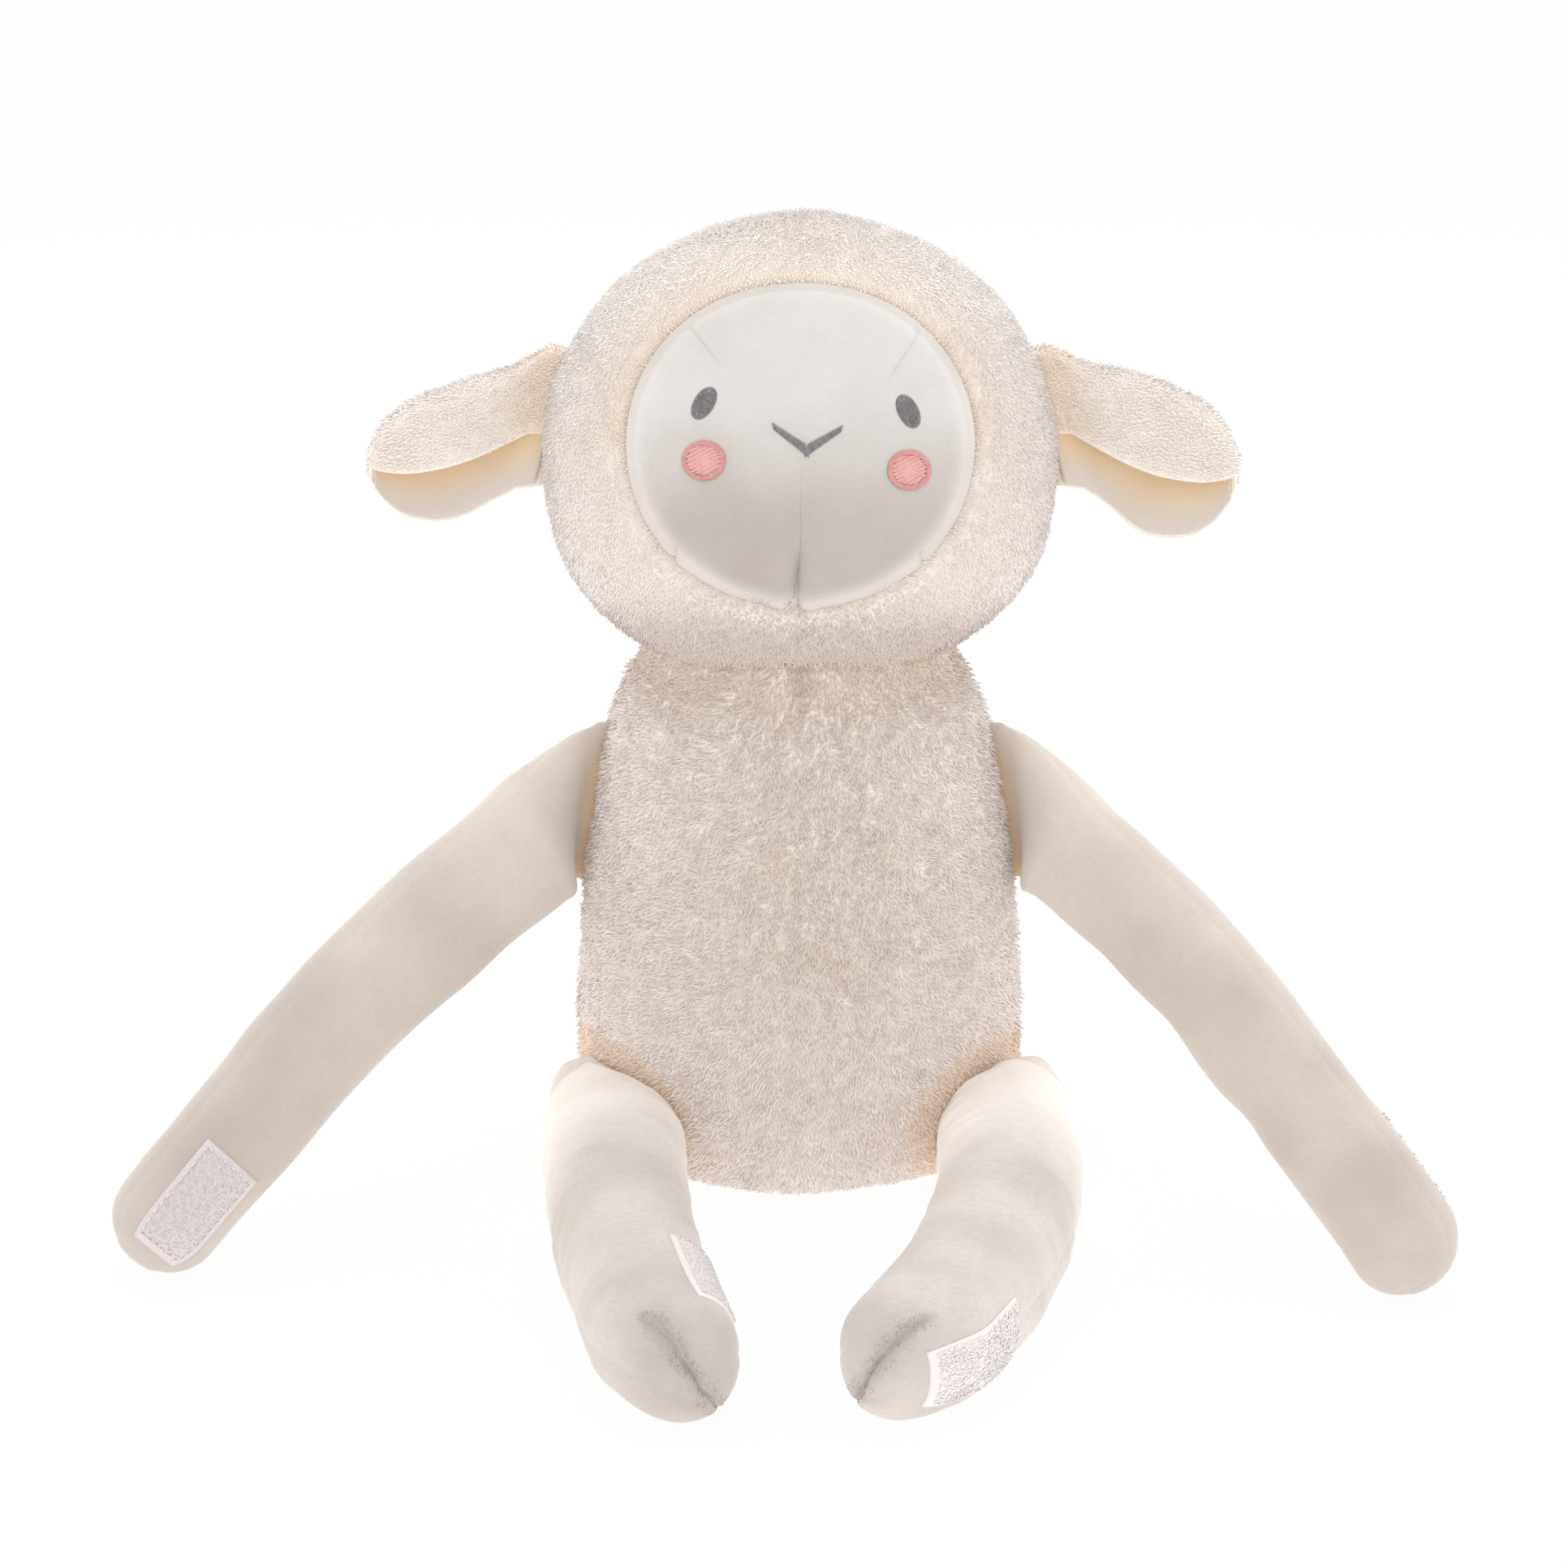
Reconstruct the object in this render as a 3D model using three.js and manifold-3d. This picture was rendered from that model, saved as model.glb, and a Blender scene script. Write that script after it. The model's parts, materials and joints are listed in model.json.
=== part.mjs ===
// Seated plush lamb comforter: pile head and body, velour face, long velour arms and legs with tape pads.
// Millimetres, +Z up. The toy sits on z = 0 and looks along -Y, so its own right side is at -X.
import * as THREE from 'three';
import { mergeVertices } from 'three/addons/utils/BufferGeometryUtils.js';
import Module from 'manifold-3d';

const wasm = await Module();
wasm.setup();

// Fabrics and the clearance between pieces that touch
const GAP = 0.3;
const PILE = 4;
const VELOUR = 1.5;
const TAPE = 1.4;
const THREAD = 0.45;

// Body: a pear that leans back and ends in a dome, on which the head sits
const NECK_HEIGHT = 165;
const NECK_SETBACK = 12;
const NECK_HALF_WIDTH = 50;
const NECK_RADIUS = 40;
const HIP_HEIGHT = 40;
const HIP_HALF_WIDTH = 72;
const HIP_HALF_DEPTH = 50;
const SEAT_HALF_WIDTH = 50;
const SEAT_HALF_DEPTH = 37;
const SEAT_SEAM_SETBACK = 8;
// How squarely the body rounds into its seat, and how sharply it draws in right under the neck
const SEAT_ROUNDNESS = 2.6;
const NECK_TUCK = 0.3;
const NECK_TUCK_POWER = 12;
// Room between the body's dome and the hollow under the head, in which the head nods
const SOCKET_ROOM = 0.7;

// Head, measured from its centre
const HEAD_RISE = 66;
const HEAD_ADVANCE = 4;
const HEAD_TILT = 17;
const HEAD_HALF_WIDTH = 79.5;
const HEAD_TOP = 75.5;
const HEAD_CHIN = 69;
const HEAD_JOWL = 2.35;
const HEAD_FRONT = 50;
const HEAD_BACK = 54;

// Face disc, and the swell of its muzzle
const FACE_HALF_WIDTH = 52.5;
const FACE_HALF_HEIGHT = 49;
const FACE_RISE = 3.4;
const MUZZLE_SWELL = 7;
const MUZZLE_DROP = 14;
const MUZZLE_WIDTH = 34;
const MUZZLE_HEIGHT = 26;

// Embroidery: half sizes of each stitched field, and how proud it stands
const STITCH = 1.1;
const EYE_LENGTH = 5.3;
const EYE_WIDTH = 3.2;
const CHEEK_WIDTH = 6.6;
const CHEEK_HEIGHT = 5.9;
const CHEEK_RING = 1.6;
const MOUTH_STROKE = 1.1;
const MOUTH_TAPER = 0.45;
const CROWN_FALL = 0.55;
const EYES = { right: { x: -28.3, z: 15.7, lean: 31 }, left: { x: 31.5, z: 13.4, lean: -27 } };
const CHEEKS = { right: { x: -28.3, z: -1 }, left: { x: 31.7, z: -3.8 } };
const MOUTH = { right: [-8.2, 9], low: [1.7, 1.9], left: [11.9, 8.2] };

// Ears, from the root seam outward
const EAR_HALF_HEIGHT = 23;
const EAR_DEPTH = 17;
const EAR_FLAP = 0.62;
const EAR_ROOT_HEIGHT = 12;
const EAR_LEAN = 15;
const EAR_FORWARD = 8;
const EAR_SHELL = 3.2;
const EAR_LINING = 1.6;
const EAR_BEAD = 3;

// Arms
const ARM_ROOT_TOP = 144;
const ARM_ROOT_BOTTOM = 89.5;
const ARM_REACH = 155;
const ARM_TIP_HALF_WIDTH = 17.5;
const ARM_TIP_HALF_THICKNESS = 16.5;
const ARM_HALF_THICKNESS = 17;
// Lengths over which the flat root opens to the full thickness, and narrows to the full width
const ARM_FLARE = 40;
const ARM_NARROWING = 28;
const ARM_BEAD = 1.9;
const ARM_END = 17;

// Legs
const LEG_ROOT_Y = -6;
const LEG_REACH = 167;
const LEG_HALF_WIDTH = 23.5;
const LEG_FOOT_HALF_WIDTH = 20;
const LEG_HALF_HEIGHT = 20.5;
const LEG_FOOT_HALF_HEIGHT = 18.5;
const LEG_END = 17;
const KNEE_REACH = 92;
// The hip seam's ends on the body: their heights, and their angles round it from the toy's left
const HIP_SEAM_OUTER_HEIGHT = 35;
const HIP_SEAM_OUTER_ANGLE = 198;
const HIP_SEAM_INNER_HEIGHT = 5;
const HIP_SEAM_INNER_ANGLE = 232;
const HIP_BEVEL = 60;

// The soft limbs and ears of the two sides lie a little differently. Azimuth is how far an arm points ahead.
// A pad's angle goes round the limb, and its shift carries it on over the rounded end.
const RIGHT_ARM = {
  name: 'right_arm', side: -1, azimuth: 36.4, arch: 14, halfWidth: 23,
  tape: 'hook', padAngle: 68, padShift: 11,
};
const LEFT_ARM = {
  name: 'left_arm', side: 1, azimuth: 43, arch: 18, halfWidth: 21,
  tape: 'loop', padAngle: 90, padShift: 0,
};
const RIGHT_LEG = {
  name: 'right_leg', side: -1, rootX: 60, kneeX: 61, footX: 38,
  tape: 'hook', padAngle: 38, padShift: 0,
};
const LEFT_LEG = {
  name: 'left_leg', side: 1, rootX: 64, kneeX: 76, footX: 31,
  tape: 'loop', padAngle: -5, padShift: 8,
};
const RIGHT_EAR = { name: 'right_ear', side: -1, reach: 50, droop: 14, spread: 1 };
const LEFT_EAR = { name: 'left_ear', side: 1, reach: 52, droop: 16, spread: 1.18 };

// Tape pads on the limbs
const PAD_LENGTH = 36;
const PAD_WIDTH = 20;
const PAD_INSET = 2;

// How round the soft sections are: 2 is an ellipse, more is fuller at the corners
const LIMB_FULLNESS = 2.3;
// The least that a filling keeps of a flat root's thickness, and how deep a limb is pressed flat on the floor
const THINNEST = 0.35;
const FLAT_DEPTH = 0.5;
const FAR = 700;

const COLOURS = {
  pile: 0xe4d8cc,
  velour: 0xe6dfd8,
  filling: 0xf2f0ec,
  grey: 0x69676c,
  pink: 0xf2b7b2,
  rose: 0xe4988f,
  tape: 0xded7da,
};
const ROUGHNESS = { pile: 0.95, velour: 0.9, filling: 1, grey: 0.55, pink: 0.5, rose: 0.5, tape: 0.7 };

const toRadians = THREE.MathUtils.degToRad;
const vec = (x, y, z) => new THREE.Vector3(x, y, z);
const smooth = (t) => THREE.MathUtils.smoothstep(t, 0, 1);
const steps = (count) => Array.from({ length: count + 1 }, (_, i) => i / count);
const turnsOf = (count) => steps(count).slice(0, count).map((t) => t * 2 * Math.PI);

// Closed geometry from points and triangles, turned so that its faces point out
function closed(points, triangles) {
  let volume = 0;
  for (const [a, b, c] of triangles) {
    volume += points[a].dot(vec(0, 0, 0).crossVectors(points[b], points[c]));
  }
  const order = volume < 0 ? triangles.map(([a, b, c]) => [a, c, b]) : triangles;
  const geometry = new THREE.BufferGeometry();
  geometry.setAttribute('position', new THREE.Float32BufferAttribute(points.flatMap((p) => p.toArray()), 3));
  geometry.setIndex(order.flat());
  return geometry;
}

// Skin through rings of equal point count; each end is closed by a fan to its pole
function loft(rings, startPole, endPole) {
  const count = rings[0].length;
  const points = rings.flat();
  const triangles = [];
  for (let r = 0; r < rings.length - 1; r++) {
    for (let i = 0; i < count; i++) {
      const a = r * count + i;
      const b = r * count + ((i + 1) % count);
      triangles.push([a, b, b + count], [a, b + count, a + count]);
    }
  }
  const last = (rings.length - 1) * count;
  const start = points.push(startPole) - 1;
  const end = points.push(endPole) - 1;
  for (let i = 0; i < count; i++) {
    const j = (i + 1) % count;
    triangles.push([start, j, i], [end, last + i, last + j]);
  }
  return closed(points, triangles);
}

// A sheet with thickness: point(u, v, side) gives both faces, side 0 below and 1 above
function slab(us, vs, point) {
  const points = [];
  for (const side of [0, 1]) {
    for (const u of us) {
      for (const v of vs) {
        points.push(point(u, v, side));
      }
    }
  }
  const across = vs.length;
  const top = us.length * across;
  const triangles = [];
  const quad = (a, b, c, d) => triangles.push([a, b, c], [a, c, d]);
  for (let i = 0; i < us.length - 1; i++) {
    for (let j = 0; j < across - 1; j++) {
      const a = i * across + j;
      quad(a, a + 1, a + across + 1, a + across);
      quad(top + a, top + a + across, top + a + across + 1, top + a + 1);
    }
    const a = i * across;
    const b = a + across - 1;
    quad(a, a + across, top + a + across, top + a);
    quad(b, top + b, top + b + across, b + across);
  }
  for (let j = 0; j < across - 1; j++) {
    const b = (us.length - 1) * across + j;
    quad(j, top + j, top + j + 1, j + 1);
    quad(b, b + 1, top + b + 1, top + b);
  }
  return closed(points, triangles);
}

// A dome over a closed rim: point(radius 0..1, turn, side) gives both faces, as on a button or a disc
function disc(radii, turns, point) {
  const count = turns.length;
  const points = [];
  for (const side of [0, 1]) {
    points.push(point(0, 0, side));
    for (const radius of radii) {
      turns.forEach((turn) => points.push(point(radius, turn, side)));
    }
  }
  const half = points.length / 2;
  const rim = 1 + (radii.length - 1) * count;
  const triangles = [];
  for (let i = 0; i < count; i++) {
    const j = (i + 1) % count;
    triangles.push([0, 1 + i, 1 + j], [half, half + 1 + j, half + 1 + i]);
    for (let r = 0; r < radii.length - 1; r++) {
      const [a, b] = [1 + r * count + i, 1 + r * count + j];
      triangles.push([a, a + count, b + count], [a, b + count, b]);
      triangles.push([half + a, half + b, half + b + count], [half + a, half + b + count, half + a + count]);
    }
    triangles.push([rim + i, half + rim + i, half + rim + j], [rim + i, half + rim + j, rim + j]);
  }
  return closed(points, triangles);
}

// A closed loop of thread: at each place a small square section stands on the surface normal
function threadLoop(places) {
  const count = places.length;
  const points = [];
  places.forEach(({ at, normal }, i) => {
    const along = vec(0, 0, 0).subVectors(places[(i + 1) % count].at, places[(i + count - 1) % count].at);
    const side = vec(0, 0, 0).crossVectors(along, normal).normalize();
    for (const turn of [0, 90, 180, 270].map(toRadians)) {
      const offset = normal.clone().multiplyScalar(Math.sin(turn)).addScaledVector(side, Math.cos(turn));
      points.push(at.clone().addScaledVector(offset, THREAD));
    }
  });
  const triangles = [];
  for (let i = 0; i < count; i++) {
    for (let k = 0; k < 4; k++) {
      const [a, b] = [i * 4 + k, i * 4 + ((k + 1) % 4)];
      const [c, d] = [((i + 1) % count) * 4 + k, ((i + 1) % count) * 4 + ((k + 1) % 4)];
      triangles.push([a, b, d], [a, d, c]);
    }
  }
  return closed(points, triangles);
}

// Geometry to a solid for cutting, and back again
function solid(geometry) {
  const plain = new THREE.BufferGeometry();
  plain.setAttribute('position', geometry.getAttribute('position').clone());
  if (geometry.index) {
    plain.setIndex(geometry.index.clone());
  }
  const merged = mergeVertices(plain, 1e-4);
  const mesh = new wasm.Mesh({
    numProp: 3,
    vertProperties: Float32Array.from(merged.getAttribute('position').array),
    triVerts: Uint32Array.from(merged.index.array),
  });
  return new wasm.Manifold(mesh);
}

function shape(body) {
  const mesh = body.getMesh();
  const geometry = new THREE.BufferGeometry();
  geometry.setAttribute('position', new THREE.BufferAttribute(Float32Array.from(mesh.vertProperties), 3));
  geometry.setIndex(Array.from(mesh.triVerts));
  return geometry;
}

// Everything on the side of a plane that its normal points to
function beyond(point, normal) {
  const box = new THREE.BoxGeometry(2 * FAR, 2 * FAR, FAR);
  const turn = new THREE.Quaternion().setFromUnitVectors(vec(0, 0, 1), normal.clone().normalize());
  box.translate(0, 0, FAR / 2);
  box.applyQuaternion(turn);
  box.translate(point.x, point.y, point.z);
  return solid(box);
}

const aboveFloor = beyond(vec(0, 0, 0), vec(0, 0, 1));

// Two panels of one cover, parted along the seam plane
function panels(cover, point, normal) {
  const step = normal.clone().normalize().multiplyScalar(GAP / 2);
  const front = cover.intersect(beyond(point.clone().add(step), normal));
  const back = cover.intersect(beyond(point.clone().sub(step), normal.clone().negate()));
  return [shape(front), shape(back)];
}

function piece(name, fabric, geometry, parent) {
  const finish = { color: COLOURS[fabric], roughness: ROUGHNESS[fabric], metalness: 0 };
  const mesh = new THREE.Mesh(geometry, new THREE.MeshStandardMaterial(finish));
  mesh.name = name;
  parent.add(mesh);
}

// Body

const bodySetback = (height) => (NECK_SETBACK * height) / NECK_HEIGHT;

// Half width and half depth of the body at a height below the neck
function bodyHalf(height, inset) {
  if (height < HIP_HEIGHT) {
    const round = Math.sqrt(1 - ((HIP_HEIGHT - height) / HIP_HEIGHT) ** SEAT_ROUNDNESS);
    return [
      SEAT_HALF_WIDTH + (HIP_HALF_WIDTH - SEAT_HALF_WIDTH) * round - inset,
      SEAT_HALF_DEPTH + (HIP_HALF_DEPTH - SEAT_HALF_DEPTH) * round - inset,
    ];
  }
  const up = (height - HIP_HEIGHT) / (NECK_HEIGHT - HIP_HEIGHT);
  const narrowing = (1 - NECK_TUCK) * up ** 2 + NECK_TUCK * up ** NECK_TUCK_POWER;
  return [
    HIP_HALF_WIDTH + (NECK_HALF_WIDTH - HIP_HALF_WIDTH) * narrowing - inset,
    HIP_HALF_DEPTH + (NECK_RADIUS - HIP_HALF_DEPTH) * narrowing - inset,
  ];
}

function bodyPoint(height, turn, inset) {
  const [halfWidth, halfDepth] = bodyHalf(height, inset);
  return vec(halfWidth * Math.cos(turn), bodySetback(height) + halfDepth * Math.sin(turn), height);
}

// Counts of the rings and sides that shape the outside and the coarser inside of the body
const BODY_OUTSIDE = {
  sides: 28,
  dome: 6,
  levels: [0, 0.015, 0.045, 0.09, 0.16, 0.25, 0.37, 0.5, 0.63, 0.75, 0.85, 0.93, 0.975, 1],
};
const BODY_INSIDE = {
  sides: 14,
  dome: 4,
  levels: [0, 0.03, 0.1, 0.2, 0.37, 0.55, 0.75, 0.88, 0.96, 1],
};

function bodyForm(inset, { sides, dome, levels }) {
  const turns = turnsOf(sides);
  const lowest = Math.max(inset, 0);
  const rings = levels.map((level) => {
    const height = lowest + (NECK_HEIGHT - lowest) * level;
    return turns.map((turn) => bodyPoint(height, turn, inset));
  });
  for (const rise of steps(dome).slice(1, dome)) {
    const tilt = (rise * Math.PI) / 2;
    rings.push(turns.map((turn) => vec(
      (NECK_HALF_WIDTH - inset) * Math.cos(tilt) * Math.cos(turn),
      NECK_SETBACK + (NECK_RADIUS - inset) * Math.cos(tilt) * Math.sin(turn),
      NECK_HEIGHT + (NECK_RADIUS - inset) * Math.sin(tilt),
    )));
  }
  const bottom = rings[0][0].z;
  return solid(loft(rings, vec(0, bodySetback(bottom), bottom),
    vec(0, NECK_SETBACK, NECK_HEIGHT + NECK_RADIUS - inset)));
}

// The side seams lie in one plane, from behind the middle of the seat up through the neck's middle
function addBody(parent) {
  const cover = bodyForm(0, BODY_OUTSIDE).subtract(bodyForm(PILE, BODY_INSIDE));
  const seatSeam = vec(0, SEAT_SEAM_SETBACK, 0);
  const sideSeam = vec(0, -NECK_HEIGHT, NECK_SETBACK - SEAT_SEAM_SETBACK);
  const [front, back] = panels(cover, seatSeam, sideSeam);
  piece('body_front_cover', 'pile', front, parent);
  piece('body_back_cover', 'pile', back, parent);
  piece('body_filling', 'filling', shape(bodyForm(PILE + GAP, BODY_INSIDE)), parent);
}

// The body grown by the gap, carried down past its flat seat, to cut what lies against it
const bodyWithGap = bodyForm(-GAP, BODY_OUTSIDE).add(bodyForm(-GAP, BODY_OUTSIDE).translate(0, 0, -GAP));

// Head, in its own frame: origin at the head's centre, face along -Y before the tilt

const neckPivot = vec(0, NECK_SETBACK, NECK_HEIGHT);
const headCentre = neckPivot.clone().add(vec(0, -HEAD_ADVANCE, HEAD_RISE));

// How far a rounded square of a given power stands outside the ellipse, in one direction
const fullness = (turn, power) => (Math.abs(Math.cos(turn)) ** power + Math.abs(Math.sin(turn)) ** power)
  ** (-1 / power);

const muzzle = (x, z) => MUZZLE_SWELL
  * Math.exp(-((x / MUZZLE_WIDTH) ** 2) - ((z + MUZZLE_DROP) / MUZZLE_HEIGHT) ** 2);

// Point of the head: polar is 0 at the face, 90 at the ear seam and 180 at the back
function headPoint(polar, turn, inset) {
  const rim = Math.sin(polar);
  const low = Math.sin(turn) < 0;
  const half = (low ? HEAD_CHIN : HEAD_TOP) - inset;
  const full = low ? fullness(turn, HEAD_JOWL) : 1;
  const x = (HEAD_HALF_WIDTH - inset) * rim * Math.cos(turn) * full;
  const z = half * rim * Math.sin(turn) * full;
  const forward = Math.cos(polar);
  const depth = forward > 0 ? HEAD_FRONT - inset : HEAD_BACK - inset;
  return vec(x, -depth * forward - (forward > 0 ? muzzle(x, z) * Math.sqrt(forward) : 0), z);
}

// Columns of the head run from the face rim to the back; the face rim is an oval set a little high
const HEAD_COLUMNS = 28;
const headColumns = turnsOf(HEAD_COLUMNS).map((around) => {
  const z = FACE_RISE + FACE_HALF_HEIGHT * Math.sin(around);
  const across = (FACE_HALF_WIDTH * Math.cos(around)) / HEAD_HALF_WIDTH;
  const up = z / (z > 0 ? HEAD_TOP : HEAD_CHIN);
  const turn = Math.atan2(up, across);
  return { turn, rim: Math.asin(Math.hypot(across, up) / (z > 0 ? 1 : fullness(turn, HEAD_JOWL))) };
});

// Rings of the head: inside the face rim, then from the rim at 0 past the ear seam at 1 to the back at 2
const HEAD_OUTSIDE = { face: [0.4, 0.75], behind: [0, 0.3, 0.65, 1, 1.18, 1.36, 1.54, 1.72, 1.88] };
const HEAD_INSIDE = { face: [0.5], behind: [0, 0.5, 1, 1.25, 1.5, 1.75] };

function headForm(inset, { face, behind }) {
  const quarter = Math.PI / 2;
  const ring = (polarOf) => headColumns.map((column) => headPoint(polarOf(column), column.turn, inset));
  const pastRim = (rim, share) => (share < 1 ? rim + (quarter - rim) * share : quarter * share);
  const rings = [
    ...face.map((share) => ring(({ rim }) => rim * share)),
    ...behind.map((share) => ring(({ rim }) => pastRim(rim, share))),
  ];
  return solid(loft(rings, headPoint(0, 0, inset), headPoint(Math.PI, 0, inset)));
}

// Neck socket: a form of revolution about the nodding axis, so the head can nod over the body's dome
function neckSocket(toHead, growth) {
  const ball = new THREE.SphereGeometry(1, 24, 16);
  ball.rotateZ(Math.PI / 2);
  ball.scale(NECK_HALF_WIDTH + growth, NECK_RADIUS + growth, NECK_RADIUS + growth);
  const pivot = neckPivot.clone().applyMatrix4(toHead);
  ball.translate(pivot.x, pivot.y, pivot.z);
  return solid(ball);
}

// Wall of pile from the face rim to the back, parted at the ear seam
function addHead(parent) {
  const head = new THREE.Group();
  head.position.copy(headCentre);
  head.rotation.x = -toRadians(HEAD_TILT);
  head.updateMatrixWorld(true);
  parent.add(head);
  const toHead = head.matrixWorld.clone().invert();
  const socket = neckSocket(toHead, SOCKET_ROOM);
  const innerSocket = neckSocket(toHead, SOCKET_ROOM + VELOUR);

  // The plug runs from well inside the pile to well outside it, so it cuts the opening for the face
  const facePlug = solid(disc([0.5, 1], headColumns, (radius, column, side) => {
    const polar = (column.rim ?? 0) * radius;
    return headPoint(polar, column.turn ?? 0, side ? -2 * PILE : 3 * PILE);
  }));
  const shell = headForm(0, HEAD_OUTSIDE).subtract(headForm(PILE, HEAD_INSIDE));
  const cover = shell.subtract(facePlug).subtract(socket);
  const [front, back] = panels(cover, vec(0, 0, 0), vec(0, -1, 0));
  piece('head_front_cover', 'pile', front, head);
  piece('head_back_cover', 'pile', back, head);
  const filling = headForm(PILE + GAP, HEAD_INSIDE).subtract(innerSocket);
  piece('head_filling', 'filling', shape(filling), head);

  const rimGap = GAP / HEAD_FRONT;
  const face = disc([0.25, 0.5, 0.75, 0.9, 1], headColumns, (radius, column, side) => {
    const polar = Math.max((column.rim ?? 0) - rimGap, 0) * radius;
    return headPoint(polar, column.turn ?? 0, side ? 0 : VELOUR);
  });
  piece('face_panel', 'velour', face, head);
  addFaceEmbroidery(head);
  addEar(head, RIGHT_EAR);
  addEar(head, LEFT_EAR);
}

// A point that stands off the face, from its place across and up the disc
function facePoint(x, z, lift) {
  const depthAt = (px, pz) => {
    const half = pz > 0 ? HEAD_TOP : HEAD_CHIN;
    const full = pz > 0 ? 1 : fullness(Math.atan2(pz / half, px / HEAD_HALF_WIDTH), HEAD_JOWL);
    const forward = Math.sqrt(1 - (Math.hypot(px / HEAD_HALF_WIDTH, pz / half) / full) ** 2);
    return HEAD_FRONT * forward + muzzle(px, pz) * Math.sqrt(forward);
  };
  const slopeX = depthAt(x + THREAD, z) - depthAt(x - THREAD, z);
  const slopeZ = depthAt(x, z + THREAD) - depthAt(x, z - THREAD);
  const normal = vec(-slopeX, -2 * THREAD, -slopeZ).normalize();
  return vec(x, -depthAt(x, z), z).addScaledVector(normal, lift);
}

const ROUND = turnsOf(16);

// Stitched oval with a low crown
function ovalStitch(x, z, halfLength, halfWidth, lean) {
  const turn = toRadians(lean);
  return disc([0.5, 1], ROUND, (radius, around, side) => {
    const u = radius * halfLength * Math.sin(around);
    const w = radius * halfWidth * Math.cos(around);
    const crown = STITCH * (1 - CROWN_FALL * radius * radius);
    return facePoint(x + w * Math.cos(turn) + u * Math.sin(turn), z - w * Math.sin(turn) + u * Math.cos(turn),
      side ? GAP + crown : GAP);
  });
}

// Stitched ring round an oval
function ringStitch(x, z, halfWidth, halfHeight) {
  const points = [];
  for (const around of ROUND) {
    for (const [share, lift] of [[0, GAP], [1, GAP], [0.85, GAP + STITCH], [0.15, GAP + STITCH]]) {
      points.push(facePoint(x + (halfWidth - CHEEK_RING * share) * Math.cos(around),
        z + (halfHeight - CHEEK_RING * share) * Math.sin(around), lift));
    }
  }
  const triangles = [];
  for (let i = 0; i < ROUND.length; i++) {
    for (let k = 0; k < 4; k++) {
      const [a, b] = [i * 4 + k, i * 4 + ((k + 1) % 4)];
      const [c, d] = [((i + 1) % ROUND.length) * 4 + k, ((i + 1) % ROUND.length) * 4 + ((k + 1) % 4)];
      triangles.push([a, b, d], [a, d, c]);
    }
  }
  return closed(points, triangles);
}

// Stitched V of the nose and mouth: two strokes that meet at the low point and taper to their ends
function noseMouth() {
  const [right, low, left] = [MOUTH.right, MOUTH.low, MOUTH.left].map((place) => new THREE.Vector2(...place));
  const outward = [-1, -2 / 3, -1 / 3, 0, 1 / 3, 2 / 3, 1];
  const rings = outward.map((share) => {
    const at = low.clone().lerp(share < 0 ? right : left, Math.abs(share));
    const half = MOUTH_STROKE * (1 - MOUTH_TAPER * Math.abs(share));
    return [[-1, GAP], [1, GAP], [0.7, GAP + STITCH], [-0.7, GAP + STITCH]]
      .map(([up, lift]) => facePoint(at.x, at.y + up * half, lift));
  });
  const middle = (ring) => ring.reduce((sum, p) => sum.add(p), vec(0, 0, 0)).divideScalar(ring.length);
  return loft(rings, middle(rings[0]), middle(rings[rings.length - 1]));
}

function addFaceEmbroidery(head) {
  for (const side of ['right', 'left']) {
    const eye = EYES[side];
    const cheek = CHEEKS[side];
    const [fillWidth, fillHeight] = [CHEEK_WIDTH, CHEEK_HEIGHT].map((half) => half - CHEEK_RING - GAP);
    piece(`${side}_eye`, 'grey', ovalStitch(eye.x, eye.z, EYE_LENGTH, EYE_WIDTH, eye.lean), head);
    piece(`${side}_cheek_fill`, 'pink', ovalStitch(cheek.x, cheek.z, fillHeight, fillWidth, 0), head);
    piece(`${side}_cheek_ring`, 'rose', ringStitch(cheek.x, cheek.z, CHEEK_WIDTH, CHEEK_HEIGHT), head);
  }
  piece('nose_mouth', 'grey', noseMouth(), head);
}

// Ears: a folded leaf, hooked over at the top so that its lining shows below the fold

// Path of the folded section, from the low lip of the back wall, over the top, down the front flap
function earFold(share, halfHeight, depth) {
  const round = depth / 2;
  const wall = 2 * halfHeight - round;
  const flap = 2 * halfHeight * EAR_FLAP - round;
  const arc = Math.PI * round;
  const run = share * (wall + arc + flap);
  if (run < wall) {
    return { y: round, z: -halfHeight + run, ny: 1, nz: 0 };
  }
  if (run < wall + arc) {
    const bend = (run - wall) / round;
    const [ny, nz] = [Math.cos(bend), Math.sin(bend)];
    return { y: round * ny, z: halfHeight - round + round * nz, ny, nz };
  }
  return { y: -round, z: halfHeight - round - (run - wall - arc), ny: -1, nz: 0 };
}

// Outline of the ear along its length: shares of the full half height and depth
const EAR_STATIONS = [
  { run: -0.8, height: 0.95, depth: 0.34 },
  { run: 0, height: 1, depth: 0.46 },
  { run: 0.18, height: 0.93, depth: 0.78 },
  { run: 0.42, height: 0.92, depth: 1 },
  { run: 0.64, height: 0.86, depth: 1 },
  { run: 0.81, height: 0.72, depth: 0.9 },
  { run: 0.93, height: 0.48, depth: 0.72 },
  { run: 1, height: 0.24, depth: 0.5 },
];
const EAR_FOLD_SHARES = [0, 0.2, 0.36, 0.44, 0.5, 0.56, 0.62, 0.8, 1];

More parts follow.
